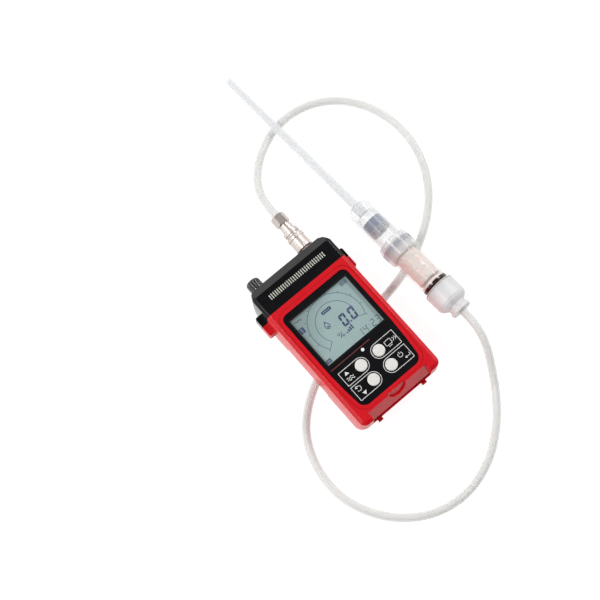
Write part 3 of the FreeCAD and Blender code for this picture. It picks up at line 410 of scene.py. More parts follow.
# ---- hose -----------------------------------------------------------------
def spline_points(route, steps):
    """Points along the route's smooth line."""
    curve = bpy.data.curves.new("hose_line", "CURVE")
    curve.dimensions = "3D"
    curve.resolution_u = steps
    spline = curve.splines.new("NURBS")
    spline.points.add(len(route) - 1)
    for point, place in zip(spline.points, route):
        point.co = (*place, 1.0)
    spline.order_u = 3
    spline.use_endpoint_u = True
    holder = bpy.data.objects.new("hose_line", curve)
    bpy.context.scene.collection.objects.link(holder)
    bpy.context.view_layer.update()
    mesh = bpy.data.meshes.new_from_object(holder)
    points = [vertex.co.copy() for vertex in mesh.vertices]
    bpy.data.objects.remove(holder)
    bpy.data.curves.remove(curve)
    bpy.data.meshes.remove(mesh)
    return points


def tube_mesh(name, path, outer, inner, segments):
    """A tube along points, with flat cut ends, or a solid wire where the inner radius is 0."""
    work = bmesh.new()
    walls = {outer: [], inner: []} if inner else {outer: []}
    side = Vector((1, 0, 0))
    for k, point in enumerate(path):
        way = (path[min(k + 1, len(path) - 1)] - path[max(k - 1, 0)]).normalized()
        side = (side - way * side.dot(way)).normalized()
        up = way.cross(side)
        for radius, rings in walls.items():
            angles = [2 * math.pi * s / segments for s in range(segments)]
            rings.append([work.verts.new(point + (side * math.cos(a) + up * math.sin(a)) * radius)
                          for a in angles])
    for rings in walls.values():
        for first, second in zip(rings, rings[1:]):
            wrap(work, first, second)
    for end in (0, -1):
        if inner:
            wrap(work, walls[outer][end], walls[inner][end])
        else:
            work.faces.new(walls[outer][end])
    bmesh.ops.recalc_face_normals(work, faces=work.faces)
    mesh = mesh_from(name, work)
    smooth(mesh)
    return mesh


# ---- settings -------------------------------------------------------------
def colour_property(name, description, value):
    return FloatVectorProperty(name=name, description=description, default=value, size=4, subtype="COLOR",
                               min=0.0, max=1.0)


def length_property(name, description, value):
    return FloatProperty(name=name, description=description, default=value, unit="LENGTH", precision=5)


class CaseSettings(bpy.types.PropertyGroup):
    """Colours of the housing and its face."""

    red: colour_property("Case red", "Colour of the moulded case", (0.66, 0.006, 0.014, 1))
    black: colour_property("Head black", "Colour of the gloss head", (0.006, 0.006, 0.007, 1))
    film: colour_property("Panel black", "Colour of the keypad film", (0.004, 0.004, 0.005, 1))
    button: colour_property("Button white", "Colour of the rubber keys", (0.84, 0.82, 0.79, 1))
    print_ink: colour_property("Print", "Colour of the printed lines", (0.80, 0.80, 0.78, 1))
    line_ink: colour_property("Rule", "Colour of the thin rule on the panel", (0.30, 0.055, 0.06, 1))
    print_width: length_property("Print width", "Width of the printed lines", 0.42 * MM)
    print_height: length_property("Print height", "How far the ink stands up", 0.05 * MM)


class LampSettings(bpy.types.PropertyGroup):
    """The alarm lamp's lens."""

    bars: IntProperty(name="Bars", description="Pale bars in each row of the lens", default=28, min=4)
    bar_fill: FloatProperty(name="Bar width", description="Part of the pitch that a bar fills", default=0.52,
                            min=0.1, max=0.9, subtype="FACTOR")
    # The bars' pale colour is a painted highlight, standing in for the bright facets of a clear ribbed lens.
    pale: colour_property("Bars", "Colour of the lens bars", (0.46, 0.47, 0.40, 1))


class ReadoutSettings(bpy.types.PropertyGroup):
    """The liquid-crystal display."""

    ground: colour_property("Ground", "Colour of the display's background", (0.285, 0.390, 0.385, 1))
    ink: colour_property("Segments", "Colour of the lit segments", (0.012, 0.030, 0.13, 1))
    faint: colour_property("Clock", "Colour of the clock's segments", (0.12, 0.17, 0.22, 1))
    height: length_property("Segment height", "Thickness of the segments", 0.04 * MM)
    slant: FloatProperty(name="Slant", description="Lean of the digits", default=0.10)


class SampleSettings(bpy.types.PropertyGroup):
    """Hose, coupling and probe."""

    hose_radius: length_property("Hose radius", "Outer radius of the hose", 3.0 * MM)
    hose_bore: length_property("Hose bore", "Radius of the hose's bore", 2.0 * MM)
    hose: colour_property("Hose", "Colour of the clear hose", (0.88, 0.88, 0.86, 1))
    nickel: colour_property("Nickel", "Colour of the coupling", (0.70, 0.62, 0.58, 1))
    milky: colour_property("Nozzle", "Colour of the milky nozzle", (0.90, 0.91, 0.92, 1))
    blue: colour_property("Cartridge", "Colour of the filter cartridge", (0.05, 0.11, 0.23, 1))
    cotton: colour_property("Cotton", "Colour of the cotton filter", (0.95, 0.83, 0.77, 1))
    oring: colour_property("O-ring", "Colour of the barrel's O-ring", (0.030, 0.011, 0.008, 1))


class StageSettings(bpy.types.PropertyGroup):
    """Floor, light and camera."""

    floor: colour_property("Floor", "Colour of the floor", (0.24, 0.24, 0.24, 1))
    glow: FloatProperty(name="Glow", description="Light that the lit table gives from below", default=0.92)
    sky: FloatProperty(name="Sky", description="Strength of the even light", default=0.70)
    boxes: FloatProperty(name="Soft boxes", description="Power of each soft box", default=13.0, unit="POWER")
    lens: FloatProperty(name="Lens", description="Focal length of the camera", default=100.0, unit="CAMERA")
    camera: FloatVectorProperty(name="Camera", description="Where the camera stands", subtype="TRANSLATION",
                                unit="LENGTH", default=(-0.20393, -0.19546, 1.14945))
    target: FloatVectorProperty(name="Target", description="Where the camera looks", subtype="TRANSLATION",
                                unit="LENGTH", default=(-0.0035, 0.03839, 0.0))


class DetectorSettings(bpy.types.PropertyGroup):
    """All settings of the detector."""

    case: PointerProperty(type=CaseSettings, name="Case", description="Housing and face")
    lamp: PointerProperty(type=LampSettings, name="Lamp", description="Alarm lamp")
    readout: PointerProperty(type=ReadoutSettings, name="Readout", description="Display")
    sample: PointerProperty(type=SampleSettings, name="Sample line", description="Hose and probe")
    stage: PointerProperty(type=StageSettings, name="Stage", description="Floor, light and camera")


# ---- hose and coupling ----------------------------------------------------
class DETECTOR_OT_hose(bpy.types.Operator):
    """Lay the clear sampling hose from the quick coupling to the probe, once the probe is filled"""

    bl_idname = "detector.hose"
    bl_label = "Hose"

    def execute(self, context):
        settings = context.scene.detector.sample
        path = spline_points(HOSE_ROUTE, 10)
        mesh = tube_mesh("hose", path, settings.hose_radius, settings.hose_bore, 28)
        # The last colour is painted shade along the hose's edges, where it is seen edge on.
        material = clear("clear_hose", settings.hose, 0.24, 0.40, 0.74, None, 14 * MM, (0.72, 0.72, 0.70, 1))
        hose = add_piece("hose", mesh, material, "detector")
        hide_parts("sample_hose")
        return {"FINISHED"}


class DETECTOR_OT_coupling(bpy.types.Operator):
    """Plate the quick coupling, its nut, its spring and the inlet"""

    bl_idname = "detector.coupling"
    bl_label = "Coupling"

    def execute(self, context):
        settings = context.scene.detector.sample
        plated = turned_metal("nickel_plate", settings.nickel, 0.42, metal=0.62)
        dress(["coupling_sleeve", "coupling_body", "inlet_port"], plated)
        dress(["coupling_nut"], turned_metal("nut_plate", shade(settings.nickel, 0.86), 0.34, metal=0.62))
        self.spring()
        return {"FINISHED"}

    def spring(self):
        """The sleeve's return spring, which the sleeve presses together as it slides back."""
        low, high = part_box("coupling_spring")
        wire, turns, steps = 0.25 * MM, 5, 40
        centre, coil = (low + high) / 2, (high.x - low.x) / 2 - wire
        path = []
        for k in range(turns * steps + 1):
            angle = 2 * math.pi * k / steps
            y = low.y + wire + (high.y - low.y - 2 * wire) * k / (turns * steps)
            path.append(Vector((centre.x + coil * math.cos(angle), y, centre.z + coil * math.sin(angle))))
        mesh = tube_mesh("release_spring", path, wire, 0, 10)
        steel = turned_metal("spring_steel", (0.50, 0.50, 0.52, 1), 0.30)
        spring = add_piece("release_spring", mesh, steel, None)
        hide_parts("coupling_spring")
        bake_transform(spring)


# ---- case -----------------------------------------------------------------
class DETECTOR_OT_case(bpy.types.Operator):
    """Finish the red case, the black head, the seals, the cover and its hinges"""

    bl_idname = "detector.case"
    bl_label = "Case"

    def execute(self, context):
        settings = context.scene.detector.case
        coated = {"Coat Weight": 0.12, "Coat Roughness": 0.10, "Specular IOR Level": 0.32}
        # The red case is painted near black in the well under the display window: painted shade.
        low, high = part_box("lcd_window")
        round_window, below_window = Vector((1, 1, 0)) * MM, Vector((0, 0, 9)) * MM
        painted_shade_well = (low - round_window - below_window, high + round_window)
        red = moulded("red_case", settings.red, 0.34, 0.5 * MM, 0.004 * MM, 0.06, coated, painted_shade_well)
        dress(["front_case", "rear_case", "battery_cover", "cover_latch"], red)
        gloss = {"Coat Weight": 0.12, "Coat Roughness": 0.08, "Specular IOR Level": 0.36}
        dress(["head_case"], moulded("gloss_black", settings.black, 0.22, 1.2 * MM, 0.003 * MM, 0.2, gloss))
        dress(["exhaust_knob"], moulded("knob_black", settings.black, 0.18, 0.8 * MM, 0.003 * MM, 0.2,
                                       {"Coat Weight": 0.6, "Coat Roughness": 0.05}))
        dress(["front_panel"], moulded("keypad_film", settings.film, 0.30, 0.28 * MM, 0.006 * MM, 0.2,
                                       {"Specular IOR Level": 0.3}))
        dress(["case_seal", "head_seal"], moulded("seal_rubber", (0.02, 0.02, 0.022, 1), 0.7))
        dress(["hinge_pins", "case_screws"], turned_metal("steel_pins", (0.56, 0.56, 0.58, 1), 0.28, (0, 0, 1)))
        return {"FINISHED"}


class DETECTOR_OT_buttons(bpy.types.Operator):
    """Finish the four rubber keys and the status lamp"""

    bl_idname = "detector.buttons"
    bl_label = "Buttons"

    def execute(self, context):
        settings = context.scene.detector.case
        rubber = speckled("key_rubber", settings.button, (0.34, 0.33, 0.33, 1), 0.46)
        dress(["display_button", "power_button", "air_button", "reset_button"], rubber)
        dress(["status_led"], moulded("lamp_white", (0.92, 0.93, 0.90, 1), 0.2))
        return {"FINISHED"}


def button_frame(print_lines, key, sign, width):
    """The printed outline beside a key: round next to the middle of the panel and square outside."""
    x, y = centre_of(*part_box(key))
    radius, reach = 5.6 * MM, 16.0 * MM
    half_turn = arc((x, y), radius, 90, 270, 20)
    outline = half_turn + [(x + reach, y - radius), (x + reach, y + radius)]
    if sign < 0:
        outline = [(2 * x - px, py) for px, py in outline]
    print_lines.line(outline, width, closed=True)
    return x, y


def triangle(centre, size, way):
    x, y = centre
    corners = [(x - size, y - way * size * 0.62), (x + size, y - way * size * 0.62), (x, y + way * size * 0.85)]
    return corners if way > 0 else corners[::-1]


def print_screen(lines, centre, width):
    """Pictogram of a screen."""
    lines.line(rectangle(centre, 5.0 * MM, 3.6 * MM, 0.5 * MM), width, closed=True)
    x, y = centre
    lines.line([(x - 1.5 * MM, y - 3.0 * MM), (x + 1.5 * MM, y - 3.0 * MM)], width)


def print_sheets(lines, centre, width):
    """Pictogram of pages that turn: two chevrons."""
    x, y = centre
    for step in (-0.9 * MM, 0.9 * MM):
        lines.line([(x + step - 0.7 * MM, y + 1.3 * MM), (x + step + 0.7 * MM, y),
                    (x + step - 0.7 * MM, y - 1.3 * MM)], width)


def print_power(lines, centre, width):
    """Pictogram of a power switch."""
    lines.line(arc(centre, 1.7 * MM, 125, 415, 24), width)
    x, y = centre
    lines.line([(x, y + 0.4 * MM), (x, y + 2.3 * MM)], width)


def print_return(lines, centre, width):
    """Pictogram of a return arrow."""
    x, y = centre
    lines.line([(x + 2.0 * MM, y + 1.4 * MM), (x + 2.0 * MM, y - 0.4 * MM), (x - 1.2 * MM, y - 0.4 * MM)], width)
    lines.area([(x - 2.4 * MM, y - 0.4 * MM), (x - 1.0 * MM, y - 1.4 * MM), (x - 1.0 * MM, y + 0.6 * MM)])


def print_waves(lines, centre, width, rows=(-0.8 * MM, 0.8 * MM)):
    """Pictogram of moving air."""
    x, y = centre
    for row in rows:
        wave = [(x + s * 0.4 * MM, y + row + 0.55 * MM * math.sin(s * 0.9)) for s in range(-7, 8)]
        lines.line(wave, width)


def print_turn_back(lines, centre, width):
    """Pictogram of an arrow that turns back on itself."""
    lines.line(arc(centre, 1.8 * MM, -150, 120, 24), width)
    x, y = arc(centre, 1.8 * MM, 120, 120, 1)[0]
    lines.area([(x - 1.5 * MM, y - 0.3 * MM), (x + 0.3 * MM, y - 1.1 * MM), (x + 0.5 * MM, y + 1.1 * MM)])


class DETECTOR_OT_panel_print(bpy.types.Operator):
    """Print the key outlines, the pictograms and the thin rule on the keypad film"""

    bl_idname = "detector.panel_print"
    bl_label = "Panel print"

    def execute(self, context):
        settings = context.scene.detector.case
        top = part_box("front_panel")[1].z
        width = settings.print_width
        lines = Inlay(top - 0.01 * MM, top + settings.print_height)
        reach = 11.4 * MM
        x, y = button_frame(lines, "display_button", 1, width)
        print_screen(lines, (x + reach - 2.8 * MM, y + 0.3 * MM), width)
        print_sheets(lines, (x + reach + 2.4 * MM, y), width)
        x, y = button_frame(lines, "power_button", 1, width)
        print_power(lines, (x + reach - 2.2 * MM, y + 1.4 * MM), width)
        print_return(lines, (x + reach + 1.4 * MM, y - 2.2 * MM), width)
        x, y = button_frame(lines, "air_button", -1, width)
        lines.area(triangle((x - reach, y + 2.4 * MM), 1.8 * MM, 1))
        print_waves(lines, (x - reach + 0.4 * MM, y - 2.0 * MM), width)
        x, y = button_frame(lines, "reset_button", -1, width)
        print_turn_back(lines, (x - reach - 0.4 * MM, y + 2.0 * MM), width)
        lines.area(triangle((x - reach + 1.2 * MM, y - 2.9 * MM), 1.8 * MM, -1))
        lines.piece("panel_print", printed("white_ink", settings.print_ink, 0.5))

        rule = Inlay(top - 0.01 * MM, top + settings.print_height)
        rule.line([(-26.8 * MM, -21.1 * MM), (8.4 * MM, -21.1 * MM)], 0.35 * MM)
        rule.piece("panel_rule", printed("rule_ink", settings.line_ink, 0.5))
        return {"FINISHED"}


# ---- display --------------------------------------------------------------
def digit_strokes(digit, centre, height, stroke, slant):
    """Outlines of a seven-segment digit's lit strokes: mitred at its corners, pointed at its waist."""
    half, width, tall = stroke / 2, (height * 0.56 - stroke) / 2, (height - stroke) / 2
    ends = {  # where the stroke starts and ends, and the way out of the digit
        "a": ((-width, tall), (width, tall), (0, 1)), "d": ((-width, -tall), (width, -tall), (0, -1)),
        "b": ((width, tall), (width, 0), (1, 0)), "f": ((-width, tall), (-width, 0), (-1, 0)),
        "c": ((width, -tall), (width, 0), (1, 0)), "e": ((-width, -tall), (-width, 0), (-1, 0)),
        "g": ((-width, 0), (width, 0), (0, 1)),
    }
    outlines = []
    for key in LIT[digit]:
        start, end, out = (Vector(value) for value in ends[key])
        way = (end - start).normalized()
        gap, thick = way * stroke * 0.06, out * half
        start, end = start + gap, end - gap
        corner = [start + thick, start + (thick - way * half) / 2, start + way * half - thick]
        point = [end - way * half - thick, end, end - way * half + thick]
        if key in "ad":
            point = [end - way * half - thick, end + (thick + way * half) / 2, end + thick]
        if key == "g":
            corner = [start + way * half + thick, start, start + way * half - thick]
        outlines.append([(centre[0] + p.x + p.y * slant, centre[1] + p.y) for p in corner + point])
    return outlines


def number(inlay, text, centre, height, stroke, slant, pitch):
    """A row of digits, with points and colons between them."""
    widths = {".": 0.28, ":": 0.50}
    total = sum(widths.get(c, 1.0) for c in text) * pitch
    x = centre[0] - total / 2
    for character in text:
        step = widths.get(character, 1.0) * pitch
        middle = (x + step / 2, centre[1])
        if character == ".":
            point = (middle[0] - height * slant / 2, centre[1] - (height - stroke) / 2)
            inlay.area(rectangle(point, stroke * 0.7, stroke * 0.7))
        elif character == ":":
            for way in (-1, 1):
                inlay.area(rectangle((middle[0] + way * height * slant / 4, centre[1] + way * height * 0.2),
                                     stroke * 0.8, stroke * 0.8))
        else:
            for outline in digit_strokes(character, middle, height, stroke, slant):
                inlay.area(outline)
        x += step


def gauge(inlay, centre):
    """The meter's double arc with its ticks."""
    start, end = 217, -26
    outer, inner, width = 20.5 * MM, 14.8 * MM, 0.34 * MM
    ring = arc(centre, outer, start, end, 60) + arc(centre, inner, end, start, 60)
    inlay.line(ring, width, closed=True)
    for k in range(11):
        turn = start + (end - start) * k / 10
        near, far = (arc(centre, outer + reach, turn, turn, 1)[0] for reach in (0.5 * MM, 1.5 * MM))
        inlay.line([near, far], 0.45 * MM)


def flame(inlay, centre, size):
    """Pictogram of a flame, for a combustible gas."""
    half = [(0.0, 1.0), (0.30, 0.45), (0.55, 0.10), (0.60, -0.35), (0.38, -0.80), (0.0, -1.0)]
    outline = [(-x, y) for x, y in half] + [(x, y) for x, y in half[-2:0:-1]]
    inlay.line(moved([(x * size, y * size) for x, y in outline], centre), 0.55 * MM, closed=True)
    inlay.area(moved(arc((0, -0.45 * size), 0.24 * size, 0, 345, 12), centre))


class DETECTOR_OT_display(bpy.types.Operator):
    """Light the display's segments and finish its glass, its window and the window's border"""

    bl_idname = "detector.display"
    bl_label = "Display"

    def execute(self, context):
        settings = context.scene.detector.readout
        low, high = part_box("lcd_glass")
        top = high.z
        middle = centre_of(low, high)
        self.glass(settings)
        lit = Inlay(top - 0.005 * MM, top + settings.height)

        def at(x, y):
            return middle[0] + x * MM, middle[1] + y * MM

        gauge(lit, at(0, 0))
        lit.area(rectangle(at(-0.6, 10.5), 8.0 * MM, 2.5 * MM, 0.5 * MM))
        flame(lit, at(-7.0, 2.2), 2.9 * MM)
        number(lit, "0.0", at(8.4, -2.4), 9.2 * MM, 1.6 * MM, settings.slant, 6.0 * MM)
        lit.line([at(-5.2, -11.4), at(-2.6, -7.4)], 0.5 * MM)
        for x, y in ((-5.2, -8.2), (-2.6, -10.6)):
            lit.line(arc(at(x, y), 0.75 * MM, 0, 345, 12), 0.4 * MM, closed=True)
        for k in range(4):
            height = 1.1 + 0.9 * k
            lit.area(rectangle(at(0.6 + 1.7 * k, -11.4 + height / 2), 1.1 * MM, height * MM))
        lit.area(rectangle(at(-22.6, 10.3), 4.0 * MM, 4.4 * MM, 0.4 * MM))
        lit.area(rectangle(at(-22.5, -18.0), 4.2 * MM, 3.0 * MM, 0.4 * MM))
        print_waves(lit, at(-20.6, 17.6), 0.5 * MM, (0,))
        lit.line(rectangle(at(21.4, 18.0), 5.0 * MM, 2.6 * MM, 0.3 * MM), 0.4 * MM, closed=True)
        for k in range(3):
            lit.area(rectangle(at(19.9 + 1.4 * k, 18.0), 0.9 * MM, 1.4 * MM))
        lit.piece("readout_segments", printed("segment_ink", settings.ink, 0.35), slot="lcd_glass")

        marks = Inlay(top + settings.height / 2, top + settings.height * 1.5)
        for x in (-3.0, -1.4, 0.2, 1.8):
            marks.area(rectangle(at(x, 10.5), 0.7 * MM, 0.9 * MM))
        for y in (9.2, 10.3, 11.4):
            marks.area(rectangle(at(-22.6, y), 1.6 * MM, 0.35 * MM))
        for x in (-23.3, -22.2, -21.5):
            marks.area(rectangle(at(x, -18.0), 0.4 * MM, 1.0 * MM))
        marks.piece("readout_marks", printed("mark_ink", settings.ground, 0.35), slot="lcd_glass")

        clock = Inlay(top - 0.005 * MM, top + settings.height)
        number(clock, "14:23", at(15.2, -17.0), 5.6 * MM, 0.72 * MM, settings.slant, 4.5 * MM)
        clock.piece("readout_clock", printed("clock_ink", settings.faint, 0.35), slot="lcd_glass")
        self.border(context)
        return {"FINISHED"}

    def glass(self, settings):
        graph = Graph("display_ground")
        cloud = graph.noise(16 * MM, 2)
        grid = graph.noise(0.35 * MM, 1)
        base = graph.mix(cloud, shade(settings.ground, 0.96), shade(settings.ground, 1.10))
        # Painted shadow: the display's ground is painted darker towards its corner at -X and +Y.
        corner = graph.node("MapRange", {}, {0: graph.axis((-0.7, 0.7, 0.0)), 1: 8 * MM, 2: 34 * MM})
        base = graph.mix(corner * 0.75, base, shade(settings.ground, 0.48))
        values = {"Base Color": base, "Roughness": 0.22 + grid * 0.2, "Emission Color": base,
                  "Emission Strength": 0.12}
        dress(["lcd_glass"], graph.finish(values, grid, 0.003 * MM))
        window = clear("window_acrylic", (0.9, 1.0, 1.0, 1), 0.05, 0.03, 0.12, None, 14 * MM)
        dress(["lcd_window"], window)
        dress(["lcd_frame"], moulded("frame_black", (0.015, 0.015, 0.017, 1), 0.5))

    def border(self, context):
        """Black border printed on the window's edge."""
        low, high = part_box("lcd_window")
        middle = centre_of(low, high)
        width, overlap = 1.5 * MM, 0.3 * MM
        frame_line = Inlay(high.z - 0.02 * MM, high.z + 0.03 * MM)
        outline = rectangle(middle, high.x - low.x - width + overlap, high.y - low.y - width + overlap)
        frame_line.line(outline, width, closed=True)
        frame_line.piece("window_border", printed("border_ink", context.scene.detector.case.film, 0.3),
                         slot="panel_black")


# ---- alarm lamp -----------------------------------------------------------
class DETECTOR_OT_lamp(bpy.types.Operator):
    """Mould the alarm lamp's lens: a back painted near black as painted shade, and two rows of bars painted pale with
    a faint glow as painted highlights
    """

    bl_idname = "detector.lamp"
    bl_label = "Alarm lamp"

    def execute(self, context):
        settings = context.scene.detector.lamp
        low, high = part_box("alarm_window")
        lamp_y = (low.y + high.y) / 2
        half_w, half_h, face = 25.0 * MM, 2.05 * MM, 36.0 * MM
        # The lens's back is painted near black: painted shade inside the clear lens.
        back = Inlay(low.z, face - 0.15 * MM)
        back.area(rectangle((0, lamp_y), 2 * half_w, 2 * half_h, 0.5 * MM))
        lens = back.piece("lamp_lens", moulded("lens_back_painted_shade", (0.012, 0.012, 0.014, 1), 0.25), slot="window_clear")
        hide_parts("alarm_window")

        work = bmesh.new()
        pitch = 2 * half_w / settings.bars
        for row in (-1, 1):
            for k in range(settings.bars):
                x = -half_w + pitch * (k + 0.5)
                self.bar(work, (x, lamp_y + row * half_h / 2), pitch * settings.bar_fill, half_h * 0.90,
                         face - 0.3 * MM, face + 0.25 * MM)
        mesh = mesh_from("lamp_bars", work)
        smooth(mesh)
        # The bars' pale colour and faint glow are painted highlights, standing in for light on the lens's bright
        # facets.
        values = {"Emission Color": settings.pale, "Emission Strength": 0.08}
        bars = moulded("lens_bars_painted_highlight", settings.pale, 0.25, sockets=values)
        add_piece("lamp_bars", mesh, bars, "detector")
        return {"FINISHED"}

    def bar(self, work, centre, width, height, low, high):
        """A small bar with a rounded back."""
        steps = 6
        rows = []
        for end in (-1, 1):
            y = centre[1] + end * height / 2
            crown = [(centre[0] + width / 2 * math.cos(math.pi * s / steps),
                      low + (high - low) * math.sin(math.pi * s / steps)) for s in range(steps + 1)]
            rows.append([work.verts.new((x, y, z)) for x, z in crown])
        near, far = rows
        for s in range(steps + 1):
            after = (s + 1) % (steps + 1)
            work.faces.new((near[s], far[s], far[after], near[after]))
        work.faces.new(near)
        work.faces.new(far[::-1])


# ---- probe ----------------------------------------------------------------
class DETECTOR_OT_probe(bpy.types.Operator):
    """Finish the probe's nozzle, holder, collar, barrel and cap, and fill its barrel with cotton"""

    bl_idname = "detector.probe"
    bl_label = "Probe"

    def execute(self, context):
        settings = context.scene.detector.sample
        # The last colour of each clear finish below is painted shade along its edges, where it is seen edge on.
        dress(["probe_nozzle"], clear("milky_nozzle", settings.milky, 0.38, 0.50, 0.78, None, 6 * MM,
                                      (0.84, 0.86, 0.88, 1)))
        dress(["nozzle_holder"], clear("clear_holder", (0.92, 0.93, 0.93, 1), 0.18, 0.15, 0.54,
                                       painted_edge_shade=(0.76, 0.77, 0.78, 1)))
        dress(["probe_barrel"], clear("clear_barrel", (0.95, 0.92, 0.89, 1), 0.06, 0.04, 0.40, {"Coat Weight": 1.0},
                                      painted_edge_shade=(0.66, 0.60, 0.55, 1)))
        dress(["probe_cap"], self.cap(settings))
        dress(["membrane_filter"], moulded("filter_disc", (0.85, 0.85, 0.84, 1), 0.8, 0.2 * MM, 0.05 * MM))
        dress(["filter_cartridge"], self.cartridge(settings))
        dress(["filter_collar"], self.collar(settings))
        dress(["probe_oring"], self.oring(settings))
        self.cotton(settings)
        return {"FINISHED"}

    def begin(self, name, lump):
        """A material's graph, the distance from the probe's tip, and clouding of one lump size."""
        graph = Graph(name)
        return graph, graph.axis(PROBE_AXIS, PROBE_TIP), graph.noise(lump, 3)

    def cartridge(self, settings):
        graph, along, cloud = self.begin("cartridge_blue", 2.2 * MM)
        pale = graph.band(along, 159.6 * MM, 166 * MM, 0.2 * MM)
        blue = graph.mix(cloud, shade(settings.blue, 0.7), shade(settings.blue, 1.3))
        base = graph.mix(pale, blue, (0.25, 0.27, 0.33, 1))
        return graph.finish({"Base Color": base, "Roughness": 0.35 + cloud * 0.2}, cloud, 0.05 * MM)

    def collar(self, settings):
        graph, along, cloud = self.begin("clear_collar", 3 * MM)
        facing = graph.edge()
        grip = graph.band(along, 177.6 * MM, 181.2 * MM, 0.3 * MM)
        # Painted shade: the collar is painted darker where it is seen edge on.
        base = graph.mix(facing, (0.93, 0.93, 0.93, 1), (0.80, 0.80, 0.80, 1))
        base = graph.mix(grip * 0.75, base, (0.42, 0.43, 0.50, 1))
        values = {"Base Color": base, "Roughness": 0.14 + cloud * 0.12, "Alpha": 0.34 + facing * 0.34 + grip * 0.28}
        return graph.finish(values, cloud, 0.01 * MM)

    def oring(self, settings):
        """A dark rubber ring behind a pale lip."""
        graph, along, cloud = self.begin("oring_rubber", 1.4 * MM)
        rubber = graph.band(along, 216.9 * MM, 222 * MM, 0.1 * MM)
        dark = graph.mix(cloud, shade(settings.oring, 0.6), shade(settings.oring, 1.7))
        base = graph.mix(rubber, (0.78, 0.70, 0.66, 1), dark)
        return graph.finish({"Base Color": base, "Roughness": 0.16 + cloud * 0.2, "Coat Weight": 0.3}, cloud,
                            0.02 * MM)

    def cap(self, settings):
        """Milky white plastic with a thin dark seam round its rim, painted darker along its edges where it is seen
        edge on: painted shade.
        """
        graph, along, haze = self.begin("milky_cap", 5 * MM)
        facing = graph.edge()
        seam = graph.band(along, 221.0 * MM, 221.5 * MM, 0.1 * MM)
        # Painted shade: darker where the cap is seen edge on.
        base = graph.mix(facing, shade(settings.milky, 0.97), (0.72, 0.69, 0.67, 1))
        base = graph.mix(seam * 0.85, base, shade(settings.oring, 2.0))
        values = {"Base Color": base, "Roughness": 0.34 + haze * 0.1, "Alpha": 0.66 + facing * 0.26 + seam * 0.1}
        return graph.finish(values, haze, 0.01 * MM)

    def cotton(self, settings):
        """A loose plug of cotton that fills the barrel, lumpy and slightly see-through at its skin."""
        start, end, radius, steps = 179.2 * MM, 213.6 * MM, 9.15 * MM, 60
        profile = [(radius * 0.2, 0.0)]
        profile += [(radius * math.sin(math.pi / 2 * min(1.0, 0.35 + 18 * min(t, 1 - t))), (end - start) * t)
                    for t in (k / steps for k in range(steps + 1))]
        profile += [(radius * 0.2, end - start)]
        mesh = turned("cotton_plug", profile, on_probe(start), 96)
        for vertex in mesh.vertices:
            along = (vertex.co - PROBE_TIP).dot(PROBE_AXIS)
            out = vertex.co - (PROBE_TIP + PROBE_AXIS * along)
            lump = 0.5 + 0.5 * noise.noise(vertex.co / (2.6 * MM)) + 0.22 * noise.noise(vertex.co / (0.8 * MM))
            vertex.co -= out * 0.13 * max(0.0, min(1.0, lump))
        smooth(mesh, math.radians(80))
        graph = Graph("cotton_wool")
        fibres = graph.noise(0.5 * MM, 5, graph.stretched((3.0, 0.8, 2.0)))
        cloud = graph.noise(5 * MM, 3)
        pale = graph.mix(cloud, shade(settings.cotton, 0.94), (0.97, 0.90, 0.86, 1))
        base = graph.mix(fibres * 0.4, pale, shade(settings.cotton, 0.76))
        values = {"Base Color": base, "Roughness": 0.85, "Subsurface Weight": 0.4, "Subsurface Scale": 0.003}
        material = graph.finish(values, fibres, 0.25 * MM)
        plug = add_piece("cotton_plug", mesh, material, "detector")
        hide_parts("dust_filter")


# ---- back and inside ------------------------------------------------------
class DETECTOR_OT_rear_label(bpy.types.Operator):
    """Finish the blank rating plate in its recess on the back"""

    bl_idname = "detector.rear_label"
    bl_label = "Rear label"

    def execute(self, context):
        low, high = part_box("rear_label")
        dress(["rear_label"], turned_metal("label_foil", (0.66, 0.66, 0.66, 1), 0.38, (1, 0, 0), 0.1 * MM))
        middle = centre_of(low, high)
        lines = Inlay(low.z - 0.04 * MM, low.z + 0.01 * MM)
        lines.line(rectangle(middle, high.x - low.x - 2.4 * MM, high.y - low.y - 2.4 * MM, 1 * MM), 0.4 * MM, True)
        for row in (-1, 0, 1):
            y = middle[1] + row * 3.9 * MM
            lines.line([(middle[0] - 15 * MM, y), (middle[0] + 15 * MM, y)], 0.3 * MM)
        lines.piece("label_print", printed("label_ink", (0.03, 0.03, 0.03, 1), 0.5), slot="label_silver")
        return {"FINISHED"}


class DETECTOR_OT_inside(bpy.types.Operator):
    """Finish the boards, cells, pump, sensor and tubes inside the case"""

    bl_idname = "detector.inside"
    bl_label = "Inside"

    def execute(self, context):
        dress(["main_board", "alarm_board"], moulded("board_green", (0.02, 0.16, 0.06, 1), 0.4, 1.5 * MM))
        dress(["board_chips", "buzzer", "keypad_membrane", "sensor_seal", "inlet_oring", "pump_diaphragm"],
              moulded("inner_black", (0.03, 0.03, 0.033, 1), 0.55))
        dress(["alarm_leds"], clear("lamp_red", (0.8, 0.05, 0.04, 1), 0.15, 0.6, 0.9))
        dress(["battery_cells"], moulded("cell_wrap", (0.05, 0.09, 0.22, 1), 0.28, 6 * MM))
        dress(["battery_contacts", "dome_switches", "combustible_sensor", "pump_rotor", "pump_motor"],
              turned_metal("inner_steel", (0.60, 0.60, 0.61, 1), 0.30))
        dress(["backlight", "sensor_manifold", "pump_body"], moulded("inner_white", (0.75, 0.76, 0.76, 1), 0.45))
        dress(["inlet_tube", "pump_tube", "exhaust_tube"], clear("inner_tube", (0.92, 0.93, 0.93, 1), 0.25, 0.3, 0.7))
        return {"FINISHED"}


# ---- stage ----------------------------------------------------------------
def soft_light(name, place, aim, size, energy):
    data = bpy.data.lights.new(name, "AREA")
    data.shape = "RECTANGLE"
    data.size, data.size_y = size
    data.energy = energy
    lamp = bpy.data.objects.new(name, data)
    lamp.location = place
    lamp.rotation_euler = (Vector(aim) - Vector(place)).to_track_quat("-Z", "Y").to_euler()
    bpy.context.scene.collection.objects.link(lamp)


